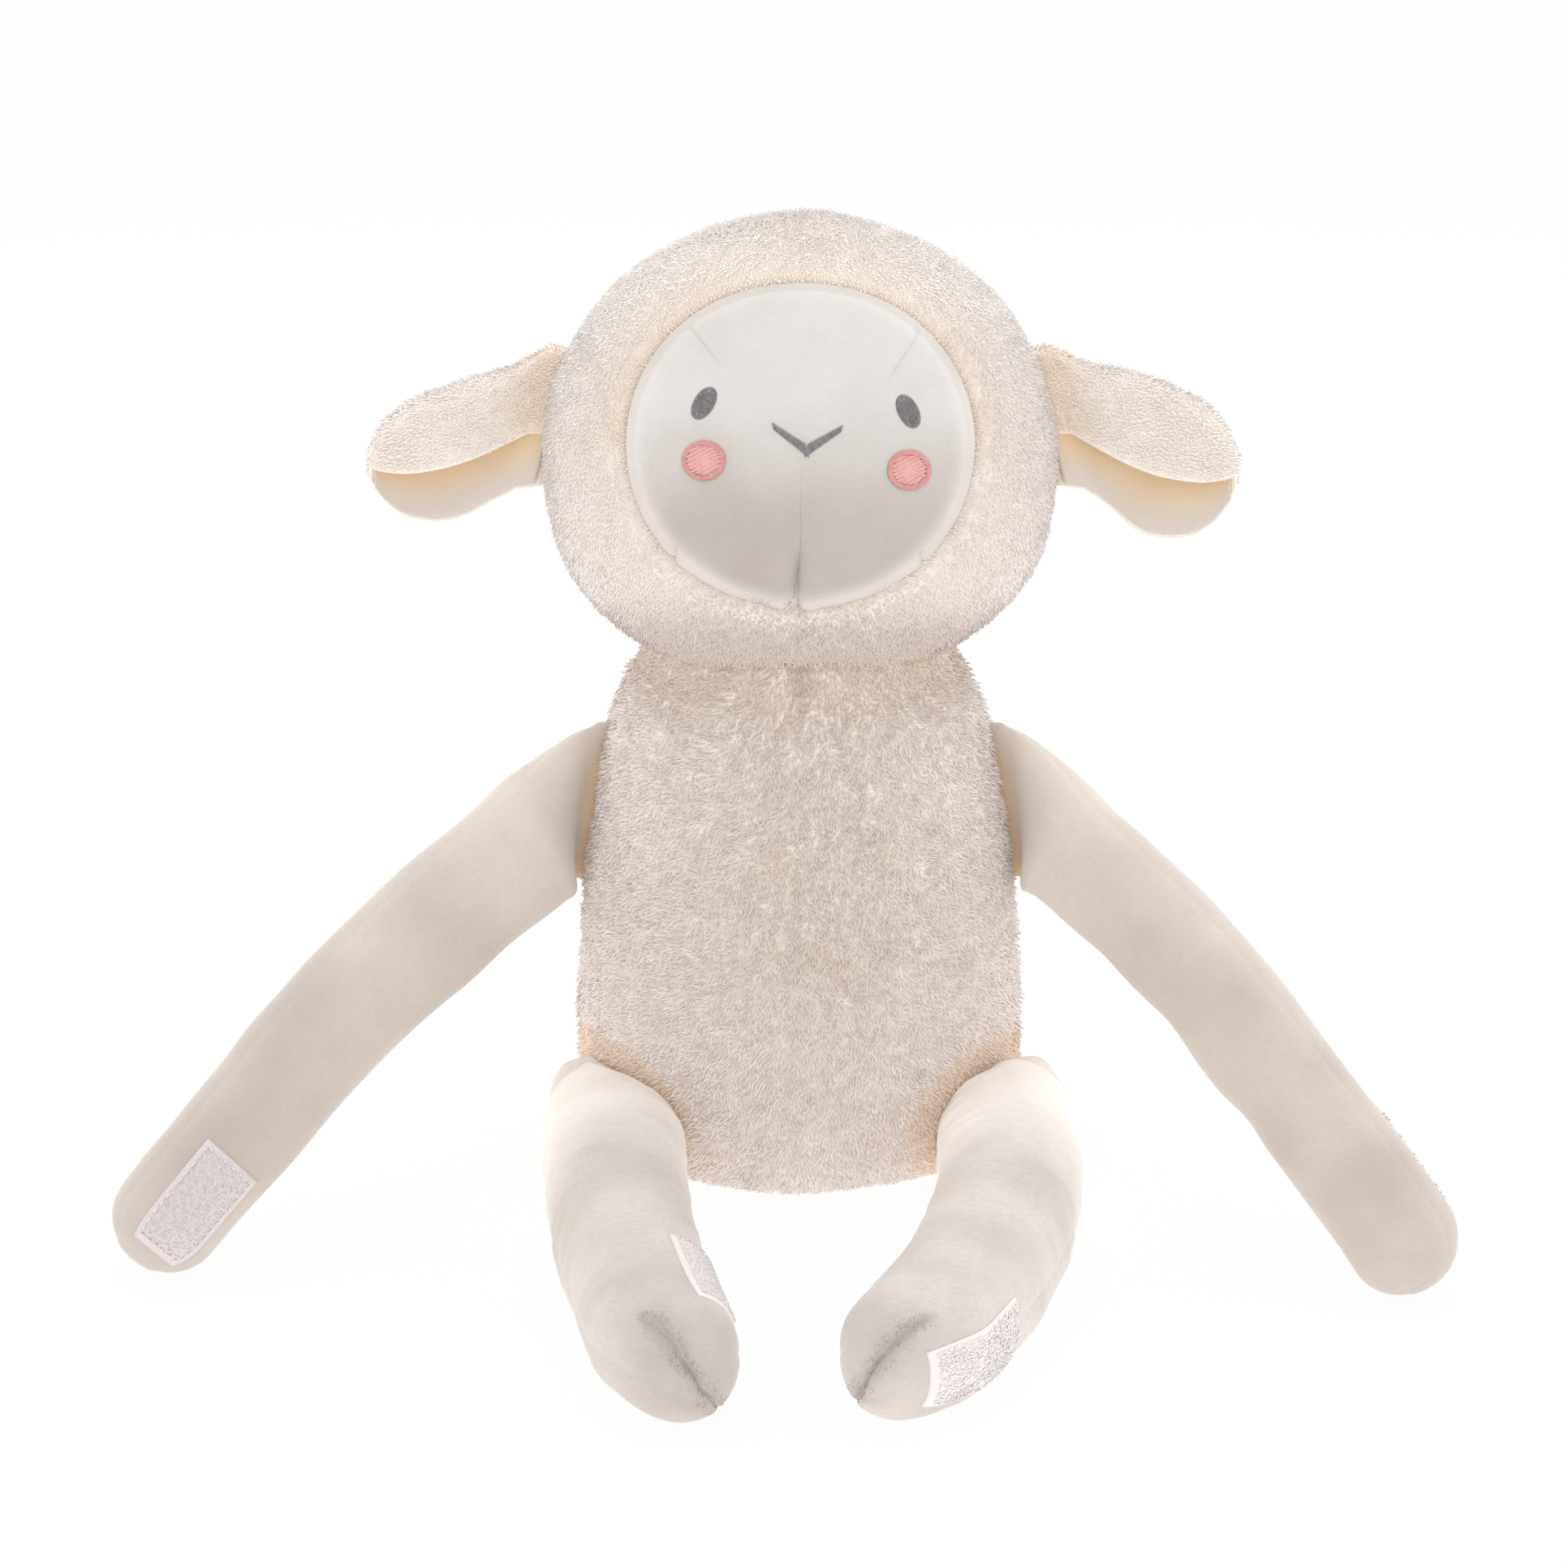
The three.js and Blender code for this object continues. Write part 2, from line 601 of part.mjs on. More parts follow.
// A point of an ear: its run out from the root, with the section's own depth and height
function earPoint(ear, root, run, depth, height) {
  const out = Math.max(run / ear.reach, 0);
  const lean = toRadians(EAR_LEAN) * (1 - Math.min(out * 2, 1));
  const sag = ear.droop * (1 - (1 - out) ** 2);
  const x = root.x + run - height * Math.sin(lean);
  const y = root.y + depth - (EAR_FORWARD * Math.max(run, 0)) / ear.reach;
  return vec(ear.side * x, y, root.z + height * Math.cos(lean) - sag);
}

function earLayer(ear, root, outside, inside, stations) {
  return slab(stations, EAR_FOLD_SHARES, (station, share, side) => {
    const run = station.run < 0 ? station.run * EAR_BEAD : station.run * ear.reach;
    const spread = THREE.MathUtils.lerp(1, ear.spread, smooth(station.run * 2));
    const fold = earFold(share, EAR_HALF_HEIGHT * station.height * spread, EAR_DEPTH * station.depth);
    const inset = side ? outside : inside;
    return earPoint(ear, root, run, fold.y - fold.ny * inset, fold.z - fold.nz * inset);
  });
}

function earRoot() {
  return headPoint(Math.PI / 2, Math.asin(EAR_ROOT_HEIGHT / HEAD_TOP), -(GAP + EAR_BEAD));
}

function addEar(head, ear) {
  const root = earRoot();
  piece(`${ear.name}_outer`, 'pile', earLayer(ear, root, 0, EAR_SHELL, EAR_STATIONS), head);
  const inside = EAR_SHELL + GAP;
  const lining = earLayer(ear, root, inside, inside + EAR_LINING, EAR_STATIONS.slice(2, -1));
  piece(`${ear.name}_lining`, 'velour', lining, head);
}

// Limbs: a tube of velour in two panels, with filling inside and a pad of tape near the end

function superellipse(turn) {
  const round = (value) => Math.sign(value) * Math.abs(value) ** (2 / LIMB_FULLNESS);
  return [round(Math.cos(turn)), round(Math.sin(turn))];
}

// Skin of a limb. limb.place(run) gives centre, wide and thick directions with their half sizes
function limbPoint(limb, run, turn, inset) {
  const { centre, wide, thick, halfWide, halfThick } = limb.place(run, inset);
  const [u, w] = superellipse(turn);
  return centre.clone().addScaledVector(wide, u * halfWide).addScaledVector(thick, w * halfThick);
}

function limbForm(limb, inset, sides, runs) {
  const turns = turnsOf(sides);
  const rings = runs.map((run) => turns.map((turn) => limbPoint(limb, run, turn, inset)));
  const tip = limb.curve.getPoint(1).addScaledVector(limb.curve.getTangent(1), limb.end - inset);
  return solid(loft(rings, limb.place(runs[0], inset).centre, tip));
}

// Rounds the end of a limb: the share of full size at a run past the curve's end
function endShare(limb, run, inset) {
  const past = Math.max(run - limb.length, 0) / (limb.end - inset);
  return Math.sqrt(Math.max(1 - past * past, 0));
}

function limbCentre(limb, run) {
  const share = THREE.MathUtils.clamp(run / limb.length, 0, 1);
  const centre = limb.curve.getPointAt(share);
  const tangent = limb.curve.getTangentAt(share);
  centre.addScaledVector(tangent, Math.max(run - limb.length, 0));
  return { centre, tangent, share };
}

// Runs of the rings along a limb, and of the last ones over its rounded end
const LIMB_SIDES = 14;
const FILLING_SIDES = 12;
const runsOf = (limb, shares) => shares.map((share) => share * limb.length);
const END_SHARES = [0, 0.45, 0.8, 0.95];
const endRuns = (limb) => END_SHARES.map((share) => limb.length + (limb.end - VELOUR - GAP) * share);
const innerEndRuns = (limb) => endRuns(limb).slice(0, -1);

function addPad(limb, { name, tape, padAngle, padShift }, parent) {
  const from = limb.length - PAD_LENGTH + padShift;
  const girth = (limb.padHalfWide + limb.padHalfThick) / 2;
  const spread = PAD_WIDTH / 2 / girth;
  const middle = toRadians(padAngle);
  const at = (run, across, lift) => limbPoint(limb, from + run, middle + across, -lift);
  const pad = slab(steps(6).map((t) => t * PAD_LENGTH), steps(6).map((t) => (2 * t - 1) * spread),
    (run, across, top) => at(run, across, top ? GAP + TAPE : GAP));
  piece(`${name}_${tape}_patch`, 'tape', pad, parent);
  const inner = 1 - PAD_INSET / (PAD_WIDTH / 2);
  const border = [];
  const add = (run, across) => {
    const low = at(run, across, 0);
    const high = at(run, across, GAP + TAPE + GAP + THREAD * 1.5);
    border.push({ at: high, normal: high.clone().sub(low).normalize() });
  };
  const [low, high] = [PAD_INSET, PAD_LENGTH - PAD_INSET];
  const side = spread * inner;
  steps(6).slice(0, 6).forEach((t) => add(low + (high - low) * t, -side));
  steps(4).slice(0, 4).forEach((t) => add(high, side * (2 * t - 1)));
  steps(6).slice(0, 6).forEach((t) => add(high - (high - low) * t, side));
  steps(4).slice(0, 4).forEach((t) => add(low, side * (1 - 2 * t)));
  piece(`${name}_patch_stitching`, 'tape', threadLoop(border), parent);
}

// Arms

// Widest stand-off of the body's side from a straight line between the arm root's ends
function rootBulge() {
  return Math.max(...steps(12).map((t) => {
    const height = ARM_ROOT_BOTTOM + (ARM_ROOT_TOP - ARM_ROOT_BOTTOM) * t;
    const [low, high] = [bodyHalf(ARM_ROOT_BOTTOM, 0)[0], bodyHalf(ARM_ROOT_TOP, 0)[0]];
    return bodyHalf(height, 0)[0] - (low + (high - low) * t);
  }));
}

function armLimb({ side, azimuth, arch, halfWidth }) {
  const stand = rootBulge() + GAP + ARM_BEAD;
  const end = (height) => vec(side * (bodyHalf(height, 0)[0] + stand), bodySetback(height), height);
  const [top, bottom] = [end(ARM_ROOT_TOP), end(ARM_ROOT_BOTTOM)];
  const root = top.clone().add(bottom).divideScalar(2);
  const rootUp = top.clone().sub(bottom).normalize();
  const out = vec(side * Math.cos(toRadians(azimuth)), -Math.sin(toRadians(azimuth)), 0);
  const rest = ARM_TIP_HALF_WIDTH - FLAT_DEPTH;
  const tip = vec(root.x + out.x * ARM_REACH, root.y + out.y * ARM_REACH, rest);
  const middle = root.clone().add(tip).divideScalar(2).add(vec(0, 0, arch));
  const curve = new THREE.QuadraticBezierCurve3(root, middle, tip);
  const length = curve.getLength();
  const planeNormal = vec(0, 0, 0).crossVectors(vec(0, 0, 1), out).normalize();
  const rootOut = out.clone().addScaledVector(rootUp, -out.dot(rootUp)).normalize();
  const rootHalf = top.distanceTo(bottom) / 2;
  const limb = { curve, length, end: ARM_END, root, rootUp };
  limb.padHalfWide = ARM_TIP_HALF_WIDTH;
  limb.padHalfThick = ARM_TIP_HALF_THICKNESS;
  limb.place = (run, inset) => {
    const { centre, tangent, share } = limbCentre(limb, Math.max(run, 0));
    centre.addScaledVector(rootOut, Math.min(run, 0));
    const turned = smooth(run / ARM_FLARE);
    const upright = vec(0, 0, 0).crossVectors(tangent, planeNormal).normalize();
    if (upright.z < 0) {
      upright.negate();
    }
    const wide = rootUp.clone().lerp(upright, turned).normalize();
    const thick = vec(0, 0, 0).crossVectors(wide, out).normalize().lerp(
      vec(0, 0, 0).crossVectors(upright, tangent).normalize(), turned).normalize();
    const shareOfEnd = endShare(limb, run, inset);
    const fullWide = THREE.MathUtils.lerp(halfWidth, ARM_TIP_HALF_WIDTH, share);
    const bead = run < 0 ? Math.sqrt(ARM_BEAD ** 2 - run ** 2) : ARM_BEAD;
    const fullThick = THREE.MathUtils.lerp(ARM_HALF_THICKNESS, ARM_TIP_HALF_THICKNESS, share);
    const halfThick = THREE.MathUtils.lerp(bead, fullThick, turned);
    const halfWide = THREE.MathUtils.lerp(rootHalf, fullWide, smooth(run / ARM_NARROWING));
    return {
      centre,
      wide,
      thick,
      halfWide: (halfWide - inset) * shareOfEnd,
      halfThick: Math.max(halfThick - inset, halfThick * THINNEST) * shareOfEnd,
    };
  };
  return limb;
}

// Rings stand close together where the root opens, and wider along the tube
const ARM_SHARES = [0.053, 0.106, 0.16, 0.213, 0.372, 0.532, 0.691, 0.851];

function addArm(parent, arm) {
  const limb = armLimb(arm);
  const along = runsOf(limb, ARM_SHARES);
  const outer = limbForm(limb, 0, LIMB_SIDES, [-ARM_BEAD * 0.8, 0, ...along, ...endRuns(limb)]);
  const inner = limbForm(limb, VELOUR, FILLING_SIDES, [-ARM_BEAD * 0.95, 0, ...along, ...innerEndRuns(limb)]);
  const cover = outer.subtract(inner).intersect(aboveFloor);
  const seam = vec(0, 0, 0).crossVectors(vec(0, 0, 1), limb.curve.getPoint(1).sub(limb.root));
  if (seam.y > 0) {
    seam.negate();
  }
  const [front, back] = panels(cover, limb.root, seam);
  piece(`${arm.name}_front_panel`, 'velour', front, parent);
  piece(`${arm.name}_back_panel`, 'velour', back, parent);
  const filling = limbForm(limb, VELOUR + GAP, FILLING_SIDES, [...along, ...innerEndRuns(limb)]);
  piece(`${arm.name}_filling`, 'filling', shape(filling), parent);
  addPad(limb, arm, parent);
}

// Legs

// Hip seam: a straight line that rests against the lower front of the body
function hipSeam({ side }) {
  const end = (height, turn) => {
    const point = bodyPoint(height, toRadians(turn), 0);
    return vec(point.x * -side, point.y, point.z);
  };
  const outer = end(HIP_SEAM_OUTER_HEIGHT, HIP_SEAM_OUTER_ANGLE);
  const inner = end(HIP_SEAM_INNER_HEIGHT, HIP_SEAM_INNER_ANGLE);
  const axis = inner.clone().sub(outer).normalize();
  const middle = outer.clone().add(inner).divideScalar(2);
  const away = middle.clone().sub(vec(0, bodySetback(HIP_HEIGHT), HIP_HEIGHT));
  away.addScaledVector(axis, -away.dot(axis)).normalize();
  const lowerBody = steps(40).flatMap((level) => turnsOf(60)
    .map((turn) => bodyPoint(level * HIP_HEIGHT * 2, turn, 0)));
  const support = Math.max(...lowerBody.map((point) => point.dot(away)));
  middle.addScaledVector(away, support - middle.dot(away) + GAP);
  return { middle, axis };
}

function legLimb({ side, rootX, kneeX, footX }) {
  const root = vec(side * rootX, LEG_ROOT_Y, LEG_HALF_HEIGHT - FLAT_DEPTH);
  const tip = vec(side * footX, -LEG_REACH, LEG_FOOT_HALF_HEIGHT - FLAT_DEPTH);
  const knee = vec(side * kneeX, -KNEE_REACH, LEG_HALF_HEIGHT - FLAT_DEPTH);
  const curve = new THREE.QuadraticBezierCurve3(root, knee, tip);
  const limb = { curve, length: curve.getLength(), end: LEG_END };
  limb.padHalfWide = LEG_FOOT_HALF_WIDTH;
  limb.padHalfThick = LEG_FOOT_HALF_HEIGHT;
  limb.place = (run, inset) => {
    const { centre, tangent, share } = limbCentre(limb, run);
    const wide = vec(-tangent.y, tangent.x, 0).normalize();
    const thick = vec(0, 0, 1);
    const shareOfEnd = endShare(limb, run, inset);
    return {
      centre,
      wide,
      thick,
      halfWide: (THREE.MathUtils.lerp(LEG_HALF_WIDTH, LEG_FOOT_HALF_WIDTH, share) - inset) * shareOfEnd,
      halfThick: (THREE.MathUtils.lerp(LEG_HALF_HEIGHT, LEG_FOOT_HALF_HEIGHT, share) - inset) * shareOfEnd,
    };
  };
  return limb;
}

const LEG_SHARES = [0, 0.17, 0.34, 0.5, 0.66, 0.83];

// The root is cut by the body, and bevelled under the hip seam so that the leg can swing down
function addLeg(parent, leg) {
  const limb = legLimb(leg);
  const along = runsOf(limb, LEG_SHARES);
  const outer = limbForm(limb, 0, LIMB_SIDES, [...along, ...endRuns(limb)]);
  const inner = limbForm(limb, VELOUR, FILLING_SIDES, [...along, ...innerEndRuns(limb)]);
  const seam = hipSeam(leg);
  const bevel = toRadians(HIP_BEVEL);
  const legWay = limb.curve.getTangent(0);
  legWay.addScaledVector(seam.axis, -legWay.dot(seam.axis)).normalize();
  const under = vec(0, 0, 0).crossVectors(seam.axis, legWay).normalize();
  if (under.z > 0) {
    under.negate();
  }
  const bevelNormal = legWay.clone().multiplyScalar(-Math.sin(bevel)).addScaledVector(under, Math.cos(bevel));
  const lowerRoot = beyond(seam.middle, bevelNormal).intersect(beyond(seam.middle, under));
  const behind = beyond(seam.middle, legWay.clone().negate());
  const cut = (form) => form.subtract(bodyWithGap).subtract(lowerRoot).subtract(behind).intersect(aboveFloor);
  const [upper, lower] = panels(cut(outer.subtract(inner)), limb.curve.getPoint(0), vec(0, 0, 1));
  piece(`${leg.name}_upper_panel`, 'velour', upper, parent);
  piece(`${leg.name}_under_panel`, 'velour', lower, parent);
  const filling = cut(limbForm(limb, VELOUR + GAP, FILLING_SIDES, [...along, ...innerEndRuns(limb)]));
  piece(`${leg.name}_filling`, 'filling', shape(filling), parent);
  addPad(limb, leg, parent);
}

const toy = new THREE.Group();
addBody(toy);
addHead(toy);
addArm(toy, RIGHT_ARM);
addArm(toy, LEFT_ARM);
addLeg(toy, RIGHT_LEG);
addLeg(toy, LEFT_LEG);

export { LEFT_ARM, LEFT_LEG, RIGHT_ARM, RIGHT_LEG, armLimb, earRoot, hipSeam };
export default toy;
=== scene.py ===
import json
import math

import bmesh
import bpy
import numpy as np
from mathutils import Euler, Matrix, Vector, noise


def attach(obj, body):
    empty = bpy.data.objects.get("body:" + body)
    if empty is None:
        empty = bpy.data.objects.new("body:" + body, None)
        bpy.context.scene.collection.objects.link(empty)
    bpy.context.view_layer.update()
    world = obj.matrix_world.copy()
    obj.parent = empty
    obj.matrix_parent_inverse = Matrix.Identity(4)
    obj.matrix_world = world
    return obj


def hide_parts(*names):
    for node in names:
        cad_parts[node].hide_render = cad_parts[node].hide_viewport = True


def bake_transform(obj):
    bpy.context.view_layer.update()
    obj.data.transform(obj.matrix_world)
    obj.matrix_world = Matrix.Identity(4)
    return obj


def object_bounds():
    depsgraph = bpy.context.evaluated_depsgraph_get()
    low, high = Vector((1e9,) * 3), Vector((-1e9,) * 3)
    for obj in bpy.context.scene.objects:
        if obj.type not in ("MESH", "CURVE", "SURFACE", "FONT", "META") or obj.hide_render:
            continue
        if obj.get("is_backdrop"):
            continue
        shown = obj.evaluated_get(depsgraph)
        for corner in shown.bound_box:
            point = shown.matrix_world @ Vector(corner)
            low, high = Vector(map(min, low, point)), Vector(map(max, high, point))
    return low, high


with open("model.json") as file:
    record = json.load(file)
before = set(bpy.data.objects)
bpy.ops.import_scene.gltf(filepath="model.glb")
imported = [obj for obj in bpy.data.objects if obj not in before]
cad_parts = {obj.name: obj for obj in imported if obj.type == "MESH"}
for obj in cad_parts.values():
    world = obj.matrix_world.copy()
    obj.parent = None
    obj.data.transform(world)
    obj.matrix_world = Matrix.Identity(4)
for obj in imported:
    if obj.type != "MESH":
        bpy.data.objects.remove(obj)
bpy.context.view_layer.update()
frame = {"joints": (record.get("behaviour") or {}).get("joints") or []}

# Camera: a long lens at the height of a table, looking down at the seated toy.
# It stands straight in front, and the toy fills most of the square picture.
MM = 0.001
LENS = 85
LOOK_DOWN = math.radians(22)
AIM = Vector((-4.9, 0, 126)) * MM
STAND_OFF = 1169.7 * MM

camera = bpy.data.objects.new("camera", bpy.data.cameras.new("camera"))
camera.data.lens = LENS
camera.data.sensor_width = 36
camera.location = AIM - STAND_OFF * Vector((0, math.cos(LOOK_DOWN), -math.sin(LOOK_DOWN)))
camera.rotation_euler = Euler((math.pi / 2 - LOOK_DOWN, 0, 0))
bpy.context.scene.collection.objects.link(camera)
bpy.context.scene.camera = camera
bpy.context.scene.view_settings.view_transform = "Standard"


# Studio: a white sweep under and behind the toy, with soft panels above, at both sides and behind.
# The front panel is the weakest, so the edges of the toy are brighter than its middle.
class Wire:
    """A socket in a node tree. Sums on wires add Math nodes, and node() adds any other node."""

    def __init__(self, tree, socket=None):
        self.tree = tree
        self.socket = socket

    def node(self, kind, settings=None, inputs=None, output=0):
        made = self.tree.nodes.new(kind)
        for key, value in (settings or {}).items():
            if key == "stops":
                for stop, (place, colour) in zip(made.color_ramp.elements, value):
                    stop.position = place
                    stop.color = colour
            else:
                setattr(made, key, value)
        for key, value in (inputs or {}).items():
            if isinstance(value, Wire):
                self.tree.links.new(value.socket, made.inputs[key])
            else:
                made.inputs[key].default_value = value
        return Wire(self.tree, made.outputs[output] if made.outputs else None)

    def sum(self, operation, first, second):
        return self.node("ShaderNodeMath", {"operation": operation}, {0: first, 1: second})

    def __add__(self, other):
        return self.sum("ADD", self, other)

    def __radd__(self, other):
        return self.sum("ADD", other, self)

    def __mul__(self, other):
        return self.sum("MULTIPLY", self, other)

    def __rmul__(self, other):
        return self.sum("MULTIPLY", other, self)

    def clamp(self, low, high):
        """0 at low and 1 at high, held there past both."""
        return self.node("ShaderNodeMapRange", {}, {0: self, 1: low, 2: high})

    def mix(self, first, second):
        """The first colour where this wire is 0, and the second where it is 1."""
        return self.node("ShaderNodeMix", {"data_type": "RGBA"}, {0: self, 6: first, 7: second}, 2)

    def vector(self, operation, first, second):
        return self.node("ShaderNodeVectorMath", {"operation": operation}, {0: first, 1: second})

    def noise(self, scale, detail=2.0, output=0):
        """Noise at the places that this wire carries."""
        return self.node("ShaderNodeTexNoise", {}, {"Vector": self, "Scale": scale, "Detail": detail}, output)

    def bump(self, strength, depth):
        """A normal from the heights that this wire carries. depth is in millimetres."""
        return self.node("ShaderNodeBump", {}, {"Height": self, "Strength": strength, "Distance": depth * MM})

    def mark(self, name):
        """The number that a mesh holds for each point under this name."""
        return self.node("ShaderNodeAttribute", {"attribute_name": name}, {}, "Fac")


def material(name):
    """An empty material and the start of its tree."""
    made = bpy.data.materials.new(name)
    made.use_nodes = True
    made.node_tree.nodes.clear()
    return made, Wire(made.node_tree)


def surface(start, shader):
    start.node("ShaderNodeOutputMaterial", {}, {"Surface": shader})


def fabric(name):
    """An empty material, the start of its tree, and the places on the object that its patterns follow."""
    made, start = material(name)
    return made, start, start.node("ShaderNodeTexCoord", {}, {}, "Object")


def principled(start, values):
    surface(start, start.node("ShaderNodeBsdfPrincipled", {}, values))


SWEEP_SIZE = 12
SWEEP_WHITE = (0.93, 0.925, 0.92, 1)
SWEEP_GLOW = 0.94
SWEEP_BOUNCE = 0.45

sweep_material, start = material("white_sweep")
paper = start.node("ShaderNodeBsdfDiffuse", {}, {"Color": SWEEP_WHITE})
glow = start.node("ShaderNodeEmission", {}, {"Color": (1, 1, 1, 1), "Strength": 1.0})
bounce = start.node("ShaderNodeEmission", {}, {"Color": (1, 0.98, 0.96, 1), "Strength": 1.7})
seen = start.node("ShaderNodeLightPath", {}, {}, "Is Camera Ray")
lit = start.node("ShaderNodeMixShader", {}, {0: SWEEP_BOUNCE, 1: paper, 2: bounce})
shown = start.node("ShaderNodeMixShader", {}, {0: SWEEP_GLOW, 1: paper, 2: glow})
surface(start, start.node("ShaderNodeMixShader", {}, {0: seen, 1: lit, 2: shown}))

sweep_mesh = bpy.data.meshes.new("white_sweep")
half = SWEEP_SIZE / 2
corners = [(-half, -half, 0), (half, -half, 0), (half, half, 0), (-half, half, 0)]
sweep_mesh.from_pydata(corners, [], [(0, 1, 2, 3)])
sweep_mesh.materials.append(sweep_material)
sweep = bpy.data.objects.new("white_sweep", sweep_mesh)
bpy.context.scene.collection.objects.link(sweep)
sweep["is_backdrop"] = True

SKY = 0.84
world = bpy.data.worlds.new("studio")
world.use_nodes = True
world.node_tree.nodes.clear()
start = Wire(world.node_tree)
rays = start.node("ShaderNodeLightPath").socket.node.outputs
camera_ray, *bent_rays = [Wire(world.node_tree, rays[f"Is {kind} Ray"])
                          for kind in ("Camera", "Glossy", "Transmission")]
straight = sum(bent_rays, camera_ray).clamp(0, 1)
sky = start.node("ShaderNodeBackground", {}, {"Color": (1, 1, 1, 1), "Strength": straight * (1 - SKY) + SKY})
start.node("ShaderNodeOutputWorld", {}, {"Surface": sky})
bpy.context.scene.world = world

PANELS_AIM = Vector((0, -0.03, 0.14))
# Each panel: where it stands, its two sizes and its power, all in metres and watts
PANELS = {
    "panel_above": ((0, 0.05, 1.25), (1.3, 1.1), 5.5),
    "panel_right": ((-1.05, 0.25, 0.5), (0.9, 1.0), 2.9),
    "panel_left": ((1.05, 0.25, 0.5), (0.9, 1.0), 2.9),
    "panel_behind": ((0, 1.1, 0.7), (1.4, 0.8), 2.2),
    "panel_front": ((0.1, -1.5, 0.8), (1.6, 1.2), 1.6),
    "panel_low": ((0, -1.0, 0.1), (1.6, 0.18), 1.0),
}
for name, (place, size, power) in PANELS.items():
    lamp = bpy.data.lights.new(name, "AREA")
    lamp.shape = "RECTANGLE"
    lamp.size, lamp.size_y = size
    lamp.energy = power
    panel = bpy.data.objects.new(name, lamp)
    panel.location = place
    panel.rotation_euler = (PANELS_AIM - panel.location).to_track_quat("-Z", "Y").to_euler()
    bpy.context.scene.collection.objects.link(panel)


# Body: two panels of pile fabric, sewn together down the sides and stuffed into a pear shape.
# The knitted backing is one sheet, and the pile stands on it in short brushed locks.
NECK_HEIGHT = 165
NECK_SETBACK = 12
NECK_HALF_WIDTH = 50
NECK_RADIUS = 40
HIP_HEIGHT = 40
HIP_HALF = (72, 50)
SEAT_HALF = (50, 37)
SEAT_ROUNDNESS = 2.6
NECK_TUCK = 0.3
NECK_TUCK_POWER = 12
BACKING_DEPTH = 1.7
BACKING = 1.0
LUMP = 1.3
LUMP_SIZE = 26
# Painted warm light: the colour the pile takes in its creases, for light bounced warm between the parts
PAINTED_CREASE_GLOW = (0.78, 0.53, 0.30, 1)
# Painted glow: the pile gives off a faint light of its own colour, for light passing through its fibres
PILE_PAINTED_GLOW = 0.15
# How far the pile's shading follows the skin below it, 0 to 1
PILE_SOFTNESS = 0.5
BODY_ROWS = 96
BODY_COLUMNS = 61
# Where the limbs press on the pile and warm light is painted on it, as rods with round ends: their ends on the
# toy's left, and radius
PRESSED = [((60, -6, 20), (61, -92, 20), 23), ((66, 10, 138), (73, 8, 92), 4.5)]
# How strongly warm light is painted into those creases, on each panel
PRESSED_PAINTED_GLOW = {"body_front": 0.75, "body_back": 0.3}
PRESSED_WIDTH = 3.6
# Spacing, length and width of the locks, how far they lean and curl, and how untidy they are
BODY_PILE = {"body_front": (0.78, 2.6, 1.05, 0.9, 3.0, 1.0), "body_back": (1.0, 2.7, 1.4, 0.9, 3.0, 1.0)}
# Shares of a panel's rows that lie across the seat, up the sides, and over the top under the head
SEAT_SHARE = 0.14
SIDES_SHARE = 0.72
TOP_SHARE = 0.14
SIDE_SEAM_DEPTH = 1.6
SIDE_SEAM_WIDTH = 3.0
COLUMN_STEP = 3.4
FLOOR_GAP = 0.3
CHEST_SEAM_DEPTH = 2.6
CHEST_SEAM_LENGTH = 16
CHEST_SEAM_WIDTH = 3.5


def lerp(a, b, share):
    """a where the share is 0, and b where it is 1."""
    return a + (b - a) * share


def smooth(share):
    """0 up to a share of 0 and 1 from a share of 1 on, with an easy slope between."""
    share = np.clip(share, 0, 1)
    return share * share * (3 - 2 * share)


def wobble(points, size, seed):
    """Soft noise between -1 and 1 at each point, for lumps of about that size in millimetres."""
    shift = Vector((seed * 17.3, seed * -5.1, seed * 9.7))
    flat = points.reshape(-1, 3) / size
    return np.array([noise.noise(Vector(p) + shift) for p in flat]).reshape(points.shape[:-1])


def unit(vectors, least=0.0):
    """The same vectors at a length of one. Those shorter than least stay short."""
    return vectors / np.maximum(np.linalg.norm(vectors, axis=-1, keepdims=True), least)


def sheet_normals(grid):
    """Unit normals of a grid of points, with those of a row that is one point taken from its neighbour."""
    normals = unit(np.cross(np.gradient(grid, axis=0), np.gradient(grid, axis=1)), 1e-9)
    for row, neighbour in ((0, 1), (-1, -2)):
        if np.ptp(grid[row], axis=0).max() < 1e-6:
            normals[row] = unit(normals[neighbour].mean(axis=0))
    return normals


def pressed(grid, depth):
    """A grid drawn in along its normals."""
    return grid - sheet_normals(grid) * depth[..., None]


def facing_out(grid):
    """The same grid of points, with its faces turned away from its middle."""
    away = grid - grid.mean(axis=(0, 1))
    return grid if (sheet_normals(grid) * away).sum() > 0 else grid[:, ::-1]


def mesh_of(name, points, faces, finish, marks=None):
    """A linked object from points in millimetres, with a number for each point under each mark's name."""
    mesh = bpy.data.meshes.new(name)
    mesh.from_pydata((np.asarray(points).reshape(-1, 3) * MM).tolist(), [], faces)
    mesh.materials.append(finish)
    for key, value in (marks or {}).items():
        mesh.attributes.new(key, "FLOAT", "POINT").data.foreach_set("value", np.ravel(value).astype(float))
    made = bpy.data.objects.new(name, mesh)
    bpy.context.scene.collection.objects.link(made)
    return made


def grid_faces(rows, columns, start=0):
    """The faces of a grid whose points are numbered row by row from start."""
    corner = np.arange(rows * columns).reshape(rows, columns) + start
    quads = np.stack([corner[:-1, :-1], corner[1:, :-1], corner[1:, 1:], corner[:-1, 1:]], axis=-1)
    return quads.reshape(-1, 4)


def spread(marks, grid):
    """The same marks, each with a number for every point of the grid."""
    return {key: value + 0 * grid[..., 0] for key, value in (marks or {}).items()}


